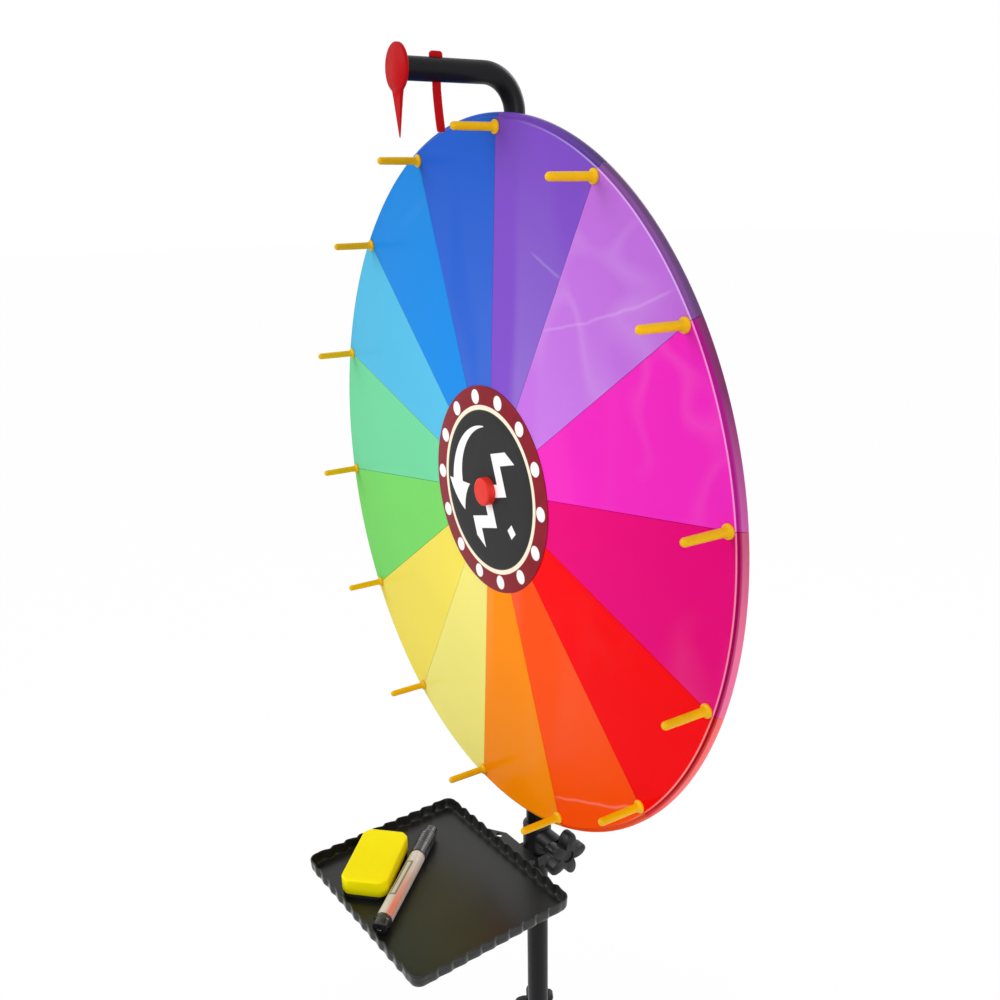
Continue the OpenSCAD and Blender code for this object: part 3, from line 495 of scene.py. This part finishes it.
# turn arrow: a swelling arc with a head
def printedArrow(radius, angle):
    back = angle * -1.0
    halfWidth = angle.spread(arrow["neck"], arrow["tail"], *arrow["halfWidth"])
    middle = angle.spread(arrow["neck"], arrow["tail"], *arrow["middle"])
    arc = ((radius - middle).math("ABSOLUTE") - halfWidth).below(0.0, arrow["edge"])
    arc = arc * angle.below(arrow["tail"], arrow["endEdge"])
    arc = arc * back.below(arrow["neckOverlap"] - arrow["neck"], arrow["endEdge"])
    head = (radius - arrow["headMiddle"]).math("ABSOLUTE") - (angle - arrow["tip"]) * arrow["headSlope"]
    head = head.below(0.0, arrow["edge"]) * angle.below(arrow["neck"], arrow["endEdge"])
    head = head * back.below(-arrow["tip"], arrow["endEdge"])
    return arc.math("MAXIMUM", head)


# a zigzag ribbon and a small diamond
def printedRibbon(east, north):
    right, up = east - ribbon["start"][0], north - ribbon["start"][1]
    aheadX, aheadZ = ribbon["ahead"]
    run = right * aheadX + up * aheadZ
    drift = right * -aheadZ + up * aheadX
    phase = ((run / ribbon["wave"]).math("FRACT") - 0.5).math("ABSOLUTE")
    zigzag = (phase - 0.25) * ribbon["swing"]
    band = drift.within(zigzag, ribbon["half"], ribbon["edge"])
    band = band * run.within(ribbon["middle"], ribbon["halfLength"], ribbon["edge"])
    offX = (east - ribbon["diamond"][0]).math("ABSOLUTE")
    offZ = (north - ribbon["diamond"][1]).math("ABSOLUTE")
    return band.math("MAXIMUM", (offX + offZ).below(ribbon["diamondHalf"], ribbon["edge"]))


# dotted maroon ring, cream ring, thin olive line and dark field, with the white print over them
def discPrint():
    material, shader, place = startMaterial("discPrint", Specular_IOR_Level=0.05)
    x, y, z = place.axes()
    up = z - hub.z
    radius = (x * x + up * up).math("SQRT") / mm
    turn = x.math("ARCTAN2", up)
    mottle = place.noise(30.0, 4.0, 0.6).stretch()
    maroon = mottle.blend(fromSrgb(128, 32, 42), fromSrgb(144, 40, 50))
    cream = mottle.blend(fromSrgb(246, 232, 206), fromSrgb(252, 240, 218))
    charcoal = mottle.blend(fromSrgb(44, 44, 45), fromSrgb(51, 51, 52))
    colour = radius.below(disc["paleRing"], disc["ringEdge"]).blend(maroon, cream)
    colour = radius.below(disc["oliveLine"], disc["ringEdge"]).blend(colour, fromSrgb(78, 80, 62))
    colour = radius.below(disc["field"], disc["ringEdge"]).blend(colour, charcoal)
    dots = printedDots(radius, turn)
    turnArrow = printedArrow(radius, turn * (180 / math.pi))
    zigzag = printedRibbon(x / mm, up / mm)
    for mask in (dots, turnArrow, zigzag):
        colour = mask.blend(colour, fromSrgb(247, 247, 247))
    link(shader, Base_Color=colour, Roughness=mottle.spread(0.0, 1.0, 0.32, 0.42))
    return material


discMaterial = discPrint()


def buildDisc():
    rings = carriedRound(disc["section"], 0.0, fullTurn, disc["steps"])
    obj = loft("discPlate", [rings], discMaterial, "wheel", caps=False, sharp=40.0)
    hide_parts("centre_disc")


buildDisc()

# hollow cap with a shallow dome
cap = {
    "dome": [(tiny, 8.5), (6.0, 8.45), (9.6, 8.2)], "shoulder": (10.6, 6.6, 1.9),
    "inside": [(12.5, 1.0), (11.1, 1.0), (11.1, 6.2), (tiny, 6.4)],
}


def buildCap():
    section = cap["dome"] + arcPoints(*cap["shoulder"], 70, 0, 6) + cap["inside"]
    obj = turned("capDome", section, [wheelPlace], capRed, "wheel")
    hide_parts("centre_cap")


buildCap()
print("stage: wheel details")

# tray: crimped rim around a flat floor, with its section as inset, rise and share of the crimp
tray = {
    "halfX": 103.0, "halfY": 86.0, "midY": -124.5, "corner": 10.0, "cornerShrink": 0.6, "cornerSteps": 14,
    "waves": (10, 12), "waveSteps": 12, "waveEase": 1.5, "crimp": 1.3, "pleatRise": 0.72,
    "notch": 0.5, "notchFrom": 9.2,
    "section": [
        (5.2, 0.0, 0.0), (3.6, 0.1, 0.1), (2.4, 0.8, 0.4), (1.6, 2.6, 0.8), (1.3, 6.2, 1.0), (1.2, 9.8, 1.0),
        (1.0, 11.4, 0.9), (1.2, 12.1, 0.9), (1.7, 12.2, 0.9), (2.3, 11.9, 0.9), (2.5, 11.0, 1.0),
        (2.5, 6.8, 1.0), (2.8, 3.4, 0.8), (3.6, 1.8, 0.4), (5.0, 1.25, 0.1), (6.6, 1.2, 0.0),
    ],
}


# pleats that lean one way and fade out at both ends of a side
def crimpWave(share, waves):
    ease = min(1.0, min(share, 1 - share) * waves * tray["waveEase"])
    phase = (waves * share) % 1.0
    rise = tray["pleatRise"]
    pleat = 2 * phase / rise - 1 if phase < rise else 1 - 2 * (phase - rise) / (1 - rise)
    return pleat * ease


# outline point, outward direction and crimp at every step: each side, then the corner after it
def trayOutline(depth):
    halfX, halfY = tray["halfX"] - depth, tray["halfY"] - depth
    corner = tray["corner"] - depth * tray["cornerShrink"]
    outline = []
    for quarter in range(4):
        reach, length = (halfX, halfY - corner) if quarter % 2 == 0 else (halfY, halfX - corner)
        facing = math.radians(90 * quarter)
        outward = Vector((math.cos(facing), math.sin(facing)))
        ahead = Vector((-math.sin(facing), math.cos(facing)))
        waves = tray["waves"][quarter % 2]
        total = waves * tray["waveSteps"]
        for step in range(total):
            share = step / total
            point = outward * reach + ahead * (length * (2 * share - 1))
            outline.append((point, outward, crimpWave(share, waves)))
        middle = outward * (reach - corner) + ahead * length
        for step in range(tray["cornerSteps"]):
            a = facing + math.pi / 2 * step / tray["cornerSteps"]
            normal = Vector((math.cos(a), math.sin(a)))
            outline.append((middle + normal * corner, normal, 0.0))
    return outline


def buildTray():
    rings = []
    for depth, rise, share in tray["section"]:
        notch = tray["notch"] * share if rise > tray["notchFrom"] else 0.0
        ring = []
        for point, outward, wave in trayOutline(depth):
            crimped = point + outward * (tray["crimp"] * share * wave)
            height = trayBase + rise - notch * max(0.0, -wave)
            ring.append(trayPlace @ (Vector((crimped.x, crimped.y + tray["midY"], height)) * mm))
        rings.append(ring)
    obj = loft("trayShell", [rings], trayBlack, "tray", sharp=28.0)
    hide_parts("tray_pan")


buildTray()

# rivets headed under the plate and flush below the tray floor
rivet = {
    "x": (-43.8, 43.8), "y": (-47.5, -86.8), "steps": 20,
    "section": [(tiny, -4.2), (2.2, -4.2), (3.3, -3.7), (3.8, -3.0), (2.0, -3.0), (2.0, 0.6), (tiny, 0.6)],
}


def buildRivets():
    spots = [Vector((x, y, trayBase)) * mm for x in rivet["x"] for y in rivet["y"]]
    places = [trayPlace @ Matrix.Translation(spot) for spot in spots]
    obj = turned("trayRivets", rivet["section"], places, trayBlack, "tray", rivet["steps"])
    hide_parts("tray_rivets")


buildRivets()

# eraser: rounded block on a felt pad
eraser = {
    "at": (-51.0, -160.5), "turn": -47.0, "half": (40.0, 23.0), "height": 21.5, "felt": 5.0,
    "cut": 6.0, "cutShrink": 0.4, "corner": 2.0, "edge": 1.6,
}


# outline drawn in by an inset: a box with cut corners, each bend rounded
def eraserOutline(inset):
    halfX, halfY = eraser["half"][0] - inset, eraser["half"][1] - inset
    cut = eraser["cut"] - inset * eraser["cutShrink"]
    corners = [Vector((halfX - cut, -halfY)), Vector((halfX, cut - halfY))]
    corners += [Vector((halfX, halfY - cut)), Vector((halfX - cut, halfY))]
    corners += [-corner for corner in corners]
    outline = []
    for index, corner in enumerate(corners):
        start = corner + (corners[index - 1] - corner).normalized() * eraser["corner"]
        end = corner + (corners[(index + 1) % len(corners)] - corner).normalized() * eraser["corner"]
        for share in (0.0, 0.25, 0.5, 0.75, 1.0):
            left = 1 - share
            outline.append(start * left ** 2 + corner * (2 * share * left) + end * share ** 2)
    return outline


def buildEraser():
    place = trayPlace @ Matrix.Translation(Vector((*eraser["at"], trayFloor)) * mm)
    place = place @ Matrix.Rotation(math.radians(eraser["turn"]), 4, "Z")

    def stack(layers):
        rings = []
        for inset, height in layers:
            rings.append([place @ (Vector((*point, height)) * mm) for point in eraserOutline(inset)])
        return [rings]

    felt, edge = eraser["felt"], eraser["edge"]
    shoulder = eraser["height"] - edge
    block = [(0.8, felt), (0.3, felt + 0.2), (0.0, felt + 0.8), (0.0, 12.0), (0.0, shoulder - 0.2)]
    block += [(edge - edge * math.cos(a), shoulder + edge * math.sin(a)) for a in (0.3, 0.6, 0.9, 1.2, 1.5)]
    block += [(4.0, eraser["height"])]
    pad = [(1.6, 0.0), (0.9, 0.5), (0.7, 2.0), (0.7, felt - 0.6), (1.2, felt)]
    obj = loft("eraserBlock", stack(block), eraserYellow, "eraser", sharp=50.0)
    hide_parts("eraser_body")
    obj = loft("eraserPad", stack(pad), eraserFelt, "eraser", sharp=50.0)
    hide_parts("eraser_felt")


buildEraser()

# marker: cap with ribs, printed barrel and dark tail plug, drawn along its length from its middle
marker = {
    "at": (-19.6, -143.6), "turn": -51.0, "height": trayFloor + 8.56, "steps": 40,
    "ribs": 5, "ribStart": -62.0, "ribStep": 3.4, "ribFoot": 8.0, "ribTop": 8.4,
    "capEnd": [(tiny, -74.0), (5.4, -74.0), (6.1, -73.6), (6.3, -72.6), (6.3, -66.0), (7.3, -65.4),
               (7.9, -64.4)],
    "capMouth": [(8.1, -44.0), (8.3, -34.0), (8.5, -32.5), (8.5, -30.2), (8.3, -30.0), (tiny, -30.0)],
    "barrel": [(tiny, -30.0), (7.3, -30.0), (7.6, -29.6), (7.8, -27.0), (7.8, 20.0), (7.8, 61.6),
               (7.5, 62.0), (tiny, 62.0)],
    "tail": [(tiny, 62.0), (7.9, 62.0), (8.1, 62.5), (8.1, 66.4), (7.4, 67.0), (7.3, 70.8), (6.9, 73.2),
             (5.7, 74.0), (2.8, 74.0), (2.4, 73.4), (tiny, 73.2)],
}
sleeve = {
    "panelAlong": 12.0, "panelAngle": -12.0, "frameHalf": (25.0, 27.0), "panelHalf": (23.0, 14.0),
    "warmAngle": 42.0, "warmHalf": 26.0, "warmSoft": 12.0,
    "warmStart": (-12.0, 12.0), "warmFade": (-6.0, 48.0),
}


# printed sleeve: pale, a warm fade on one side and a framed bare panel on the other
def markerSleeve():
    material, shader, place = startMaterial("markerSleeve", Specular_IOR_Level=0.45, Coat_Weight=0.1)
    turn = trayYaw + math.radians(marker["turn"])
    middle = trayPlace @ (Vector((*marker["at"], marker["height"])) * mm)
    local = place.moved(tuple(-middle))
    along = local.dot((math.cos(turn), math.sin(turn), 0.0)) / mm
    across = local.dot((-math.sin(turn), math.cos(turn), 0.0))
    angle = across.math("ARCTAN2", local.dot((0.0, 0.0, 1.0))) * (180 / math.pi)

    def panel(half):
        inLength = along.within(sleeve["panelAlong"], half[0], 0.4)
        return inLength * angle.within(sleeve["panelAngle"], half[1], 2.5)

    pale = place.noise(90.0, 4.0, 0.6).stretch().blend(fromSrgb(196, 190, 178), fromSrgb(214, 208, 198))
    warm = along.spread(*sleeve["warmFade"]).blend(fromSrgb(206, 190, 172), fromSrgb(232, 140, 112))
    side = angle.within(sleeve["warmAngle"], sleeve["warmHalf"], sleeve["warmSoft"])
    colour = (side * along.spread(*sleeve["warmStart"])).blend(pale, warm)
    colour = (panel(sleeve["frameHalf"]) * 0.8).blend(colour, fromSrgb(84, 82, 66))
    colour = (panel(sleeve["panelHalf"]) * 0.85).blend(colour, fromSrgb(204, 201, 186))
    link(shader, Base_Color=colour, Roughness=place.noise(300.0).stretch(0.26, 0.36))
    return material


markerPale = markerSleeve()


def buildMarker():
    place = trayPlace @ Matrix.Translation(Vector((*marker["at"], marker["height"])) * mm)
    place = place @ Matrix.Rotation(math.radians(marker["turn"]), 4, "Z")
    place = place @ Matrix.Rotation(math.radians(90), 4, "Y")
    steps = marker["steps"]
    lid = list(marker["capEnd"])
    foot, top = marker["ribFoot"], marker["ribTop"]
    for rib in range(marker["ribs"]):
        base = marker["ribStart"] + rib * marker["ribStep"]
        lid += [(foot, base), (top, base + 0.5), (top, base + 1.7), (foot, base + 2.2)]
    lid += marker["capMouth"]
    obj = turned("markerLid", lid, [place], markerBlack, "marker", steps)
    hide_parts("marker_cap")
    obj = turned("markerTube", marker["barrel"], [place], markerPale, "marker", steps)
    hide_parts("marker_barrel")
    turned("markerTail", marker["tail"], [place], markerBlack, "marker", steps)


buildMarker()
print("stage: tray and its things")

# red pointer: bevelled round plate with a tapering blade, and a plug in the arm
pointer = {
    "y": -118.0, "z": 1453.5, "radius": 17.0, "tip": 47.5, "thick": 3.0, "bevel": 0.5, "tipThin": 0.85,
    "blade": [(6.3, -17.6), (5.6, -20.0), (3.0, -34.0), (0.7, -46.8)],
    "plug": [(tiny, 0.0), (7.0, 0.0), (7.0, 14.0), (6.2, 15.0), (tiny, 15.0)], "plugSteps": 40,
}


def buildPointer():
    radius, bevel, half = pointer["radius"], pointer["bevel"], pointer["thick"] / 2
    angles = [math.radians(a) for a in range(-156, 157, 4)]
    outline = [(radius * math.sin(a), radius * math.cos(a)) for a in angles]
    outline += pointer["blade"] + [(0.0, -pointer["tip"])]
    outline += [(-x, z) for x, z in reversed(pointer["blade"])]
    rings = []
    for inset, out in ((bevel, half), (0.0, half - bevel), (0.0, bevel - half), (bevel, -half)):
        shrink = 1 - inset / radius
        ring = []
        for x, z in outline:
            downBlade = max(0.0, (-radius - z) / (pointer["tip"] - radius))
            thin = 1.0 - pointer["tipThin"] * downBlade
            high = z * shrink if z > 1 - radius else z
            ring.append(Vector((x * shrink, pointer["y"] - half + out * thin, pointer["z"] + high)) * mm)
        rings.append(ring)
    obj = loft("pointerPlate", [rings], pointerRed, "mast", sharp=50.0)
    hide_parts("pointer")
    place = Matrix.Translation(Vector((0.0, pointer["y"], pointer["z"])) * mm)
    place = place @ Matrix.Rotation(math.radians(-90), 4, "X")
    turned("pointerPlug", pointer["plug"], [place], pointerRed, "mast", pointer["plugSteps"])


buildPointer()

# flapper: a bowed blade below its pivot, and the stem and head that hold it in the arm
flapper = {
    "y": -87.0, "pivot": 1440.0, "armTop": 1462.0, "lean": 9.2, "length": 31.2, "abovePivot": 1.2, "bow": 0.5,
    "half": 3.4, "thick": 1.0, "edge": 0.3, "tipShare": 0.86, "steps": 14,
    "headHalf": (2.5, 5.2), "headCorner": 1.8,
    "head": [(0.5, -0.8), (0.0, 0.0), (0.0, 2.2), (0.3, 3.2), (0.9, 3.9), (1.7, 4.2)],
}


# a flat strip with rounded edges through stations of (x, z, turn, share of the width)
def buildStrip(name, stations, body, node):
    thick, edge = flapper["thick"], flapper["edge"]
    rings = []
    for x, z, turn, share in stations:
        wide = flapper["half"] * share
        section = [(-thick, edge - wide), (-0.6 * thick, -wide), (0.6 * thick, -wide), (thick, edge - wide)]
        section += [(-across, -along) for across, along in section]
        ring = []
        for across, along in section:
            point = (x + across * math.cos(turn), flapper["y"] + along, z + across * math.sin(turn))
            ring.append(Vector(point) * mm)
        rings.append(ring)
    obj = loft(name, [rings], pointerRed, body, sharp=40.0)
    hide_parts(node)


def buildFlapper():
    lean = math.radians(flapper["lean"])
    pivot, top, steps = flapper["pivot"], flapper["armTop"], flapper["steps"]
    blade = []
    for step in range(steps + 1):
        along = flapper["length"] * step / steps - flapper["abovePivot"]
        bow = flapper["bow"] * math.sin(math.pi * step / steps)
        x = along * math.sin(lean) - bow * math.cos(lean)
        z = pivot - along * math.cos(lean) - bow * math.sin(lean)
        blade.append((x, z, lean, 1.0 if step < steps else flapper["tipShare"]))
    buildStrip("flapperStrip", blade, "flapper", "flapper_blade")
    stem = [(0.0, z, 0.0, 1.0) for z in (pivot + 1.4, pivot + 8.0, top + 0.2)]
    buildStrip("flapperStem", stem, "mast", "flapper_head")
    halfX, halfY = flapper["headHalf"]
    rings = []
    for inset, height in flapper["head"]:
        outline = roundedBox(halfX - inset, halfY - inset, flapper["headCorner"])
        rings.append([Vector((x, flapper["y"] + y, top + height)) * mm for x, y in outline])
    loft("flapperHead", [rings], pointerRed, "mast", sharp=50.0)


buildFlapper()

# star knobs: five soft lobes with a hollow face, on a stem along the place's X axis
knob = {
    "lobes": 5, "valley": 10.6, "lobe": 13.3, "lobePower": 0.75, "steps": 120,
    "stem": 4.0, "collar": 8.6, "collarLength": 2.0, "stemStart": 11.5,
    "star": [(0.9, 0.0), (0.96, 0.8), (1.0, 2.6), (1.0, 11.0), (0.96, 12.8), (0.88, 13.8)],
    "hollow": [(8.6, 14.0), (6.4, 13.7), (6.2, 12.2), (tiny, 12.0)],
}
mastKnob = {"height": 478.0, "turn": 150.0, "headStart": 35.5}
trayKnob = {"height": 744.8, "headStart": 36.5}
alongX = Matrix(((0, 0, 1, 0), (1, 0, 0, 0), (0, 1, 0, 0), (0, 0, 0, 1)))  # turns a Z axis to X


def buildKnob(name, node, body, place, headStart):
    place = place @ alongX
    steps = knob["steps"]
    angles = [fullTurn * step / steps for step in range(steps)]

    def star(scale, height):
        ring = []
        for a in angles:
            wave = 0.5 + 0.5 * math.cos(knob["lobes"] * a)
            radius = (knob["valley"] + knob["lobe"] * wave ** knob["lobePower"]) * scale
            ring.append(place @ (Vector((radius * math.cos(a), radius * math.sin(a), height)) * mm))
        return ring

    collarStart = headStart - knob["collarLength"]
    neck = [(knob["stem"], knob["stemStart"]), (knob["stem"], collarStart)]
    neck += [(knob["collar"], collarStart), (knob["collar"], headStart)]
    rings = [circle(place, radius, height, steps) for radius, height in neck]
    rings += [star(scale, headStart + rise) for scale, rise in knob["star"]]
    rings += [circle(place, radius, headStart + rise, steps) for radius, rise in knob["hollow"]]
    obj = loft(name, [rings], blackMoulding, body, sharp=45.0)
    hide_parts(node)


mastKnobTurn = Matrix.Rotation(math.radians(mastKnob["turn"]), 4, "Z")
mastKnobPlace = Matrix.Translation((0.0, 0.0, mastKnob["height"] * mm)) @ mastKnobTurn
trayKnobPlace = trayPlace @ Matrix.Translation((0.0, 0.0, trayKnob["height"] * mm))
buildKnob("mastStar", "mast_knob", "mast_lock", mastKnobPlace, mastKnob["headStart"])
buildKnob("trayStar", "tray_knob", "tray_lock", trayKnobPlace, trayKnob["headStart"])
print("stage: head and knobs")

looks = {
    "black_tube": blackTube, "black_moulding": blackMoulding, "black_casting": blackCasting,
    "board_black": boardBlack, "foot_rubber": footRubber, "tray_sheet": trayBlack,
    "zinc_steel": zincSteel, "bearing_steel": bearingSteel, "hub_alloy": hubAlloy,
    "peg_yellow": pegYellow, "disc_print": discMaterial, "cap_red": capRed,
    "pointer_red": pointerRed, "flapper_red": pointerRed,
    "eraser_yellow": eraserYellow, "eraser_felt": eraserFelt,
    "marker_pale": markerPale, "marker_black": markerBlack,
}
slotOf = {part["node"]: part["material_slot"] for part in frame["record"]["subparts"]}
for node, obj in frame["nodes"].items():
    look = looks.get(slotOf[node])
    if look is None:
        look = bpy.data.materials[slotOf[node]]  # a face plate's film is named after its slot
    obj.data.materials.clear()
    obj.data.materials.append(look)
print("stage: looks on the carried parts")

# pale floor in metres: it shows white away from the mast and keeps the shadows near it
floor = {"half": 30.0, "pale": (0.955, 0.975), "shadeTo": 0.4, "whiteFrom": 0.75, "glow": (0.6, 0.98)}


def buildFloor():
    half = floor["half"]
    mesh = bpy.data.meshes.new("floorPlane")
    corners = [(-half, -half, 0), (half, -half, 0), (half, half, 0), (-half, half, 0)]
    mesh.from_pydata(corners, [], [(0, 1, 2, 3)])
    obj = bpy.data.objects.new("floorPlane", mesh)
    bpy.context.scene.collection.objects.link(obj)
    material, shader, place = startMaterial("floorPaint", Roughness=0.85, Specular_IOR_Level=0.1)
    greys = [(level, level, level) for level in floor["pale"]]
    link(shader, Base_Color=place.noise(1.5, 2.0).stretch().blend(*greys))
    x, y, z = place.axes()
    glowShare = (x * x + y * y).math("SQRT").spread(floor["shadeTo"], floor["whiteFrom"], *floor["glow"])
    glow = place.make("ShaderNodeEmission", {}, {"Color": (1.0, 1.0, 1.0, 1.0), "Strength": 1.0})
    paint = Shade(place.tree, shader.outputs[0])
    mixed = place.make("ShaderNodeMixShader", {}, {0: seenRays(place.tree) * glowShare, 1: paint, 2: glow})
    output = next(n for n in place.tree.nodes if n.type == "OUTPUT_MATERIAL")
    place.put(output.inputs["Surface"], mixed)
    mesh.materials.append(material)


buildFloor()

# even surround: full white where it is seen, softer where it lights
surround = {"seen": 1.0, "lighting": 0.62}


def buildWorld():
    world = bpy.data.worlds.new("surround")
    bpy.context.scene.world = world
    world.use_nodes = True
    back = next(n for n in world.node_tree.nodes if n.type == "BACKGROUND")
    back.inputs["Color"].default_value = (1, 1, 1, 1)
    seen = seenRays(world.node_tree)
    seen.put(back.inputs["Strength"], seen.spread(0.0, 1.0, surround["lighting"], surround["seen"]))


buildWorld()

# soft panels, in metres and watts
lamps = [
    {"name": "keyPanel", "at": (-1.1, -2.4, 2.6), "aim": (0, 0, 1.05), "size": (1.6, 1.6), "power": 42},
    {"name": "sidePanel", "at": (2.4, -0.4, 1.9), "aim": (0, 0, 0.95), "size": (1.2, 1.6), "power": 20},
    {"name": "backPanel", "at": (-0.6, 2.2, 2.4), "aim": (0, 0, 0.9), "size": (1.4, 1.4), "power": 18},
]


def softLight(lamp):
    data = bpy.data.lights.new(lamp["name"], "AREA")
    data.shape = "RECTANGLE"
    data.size, data.size_y = lamp["size"]
    data.energy = lamp["power"]
    obj = bpy.data.objects.new(lamp["name"], data)
    obj.location = lamp["at"]
    obj.rotation_euler = (Vector(lamp["aim"]) - Vector(lamp["at"])).to_track_quat("-Z", "Y").to_euler()
    bpy.context.scene.collection.objects.link(obj)


for lamp in lamps:
    softLight(lamp)
print("stage: floor and light")

# camera fitted to the photograph: place in metres, focal length and shift as shares of the picture's width
view = {
    "at": (0.7070, -0.4699, 1.36429), "heading": 58.6103, "tilt": -19.4456, "roll": -1.0217,
    "focal": 0.97588, "shift": 0.04, "sensor": 36.0, "clip": 0.05,
}


def buildCamera():
    lens = bpy.data.cameras.new("photoCamera")
    lens.sensor_fit = "HORIZONTAL"
    lens.sensor_width = view["sensor"]
    lens.lens = view["sensor"] * view["focal"]
    lens.shift_y = view["shift"]
    lens.clip_start = view["clip"]
    camera = bpy.data.objects.new("photoCamera", lens)
    heading = Matrix.Rotation(math.radians(view["heading"]), 4, "Z")
    tilt = Matrix.Rotation(math.radians(90 + view["tilt"]), 4, "X")
    roll = Matrix.Rotation(math.radians(view["roll"]), 4, "Z")
    camera.matrix_world = Matrix.Translation(view["at"]) @ heading @ tilt @ roll
    bpy.context.scene.collection.objects.link(camera)
    bpy.context.scene.camera = camera


buildCamera()
bpy.context.scene.view_settings.view_transform = "Standard"
print("stage: camera")
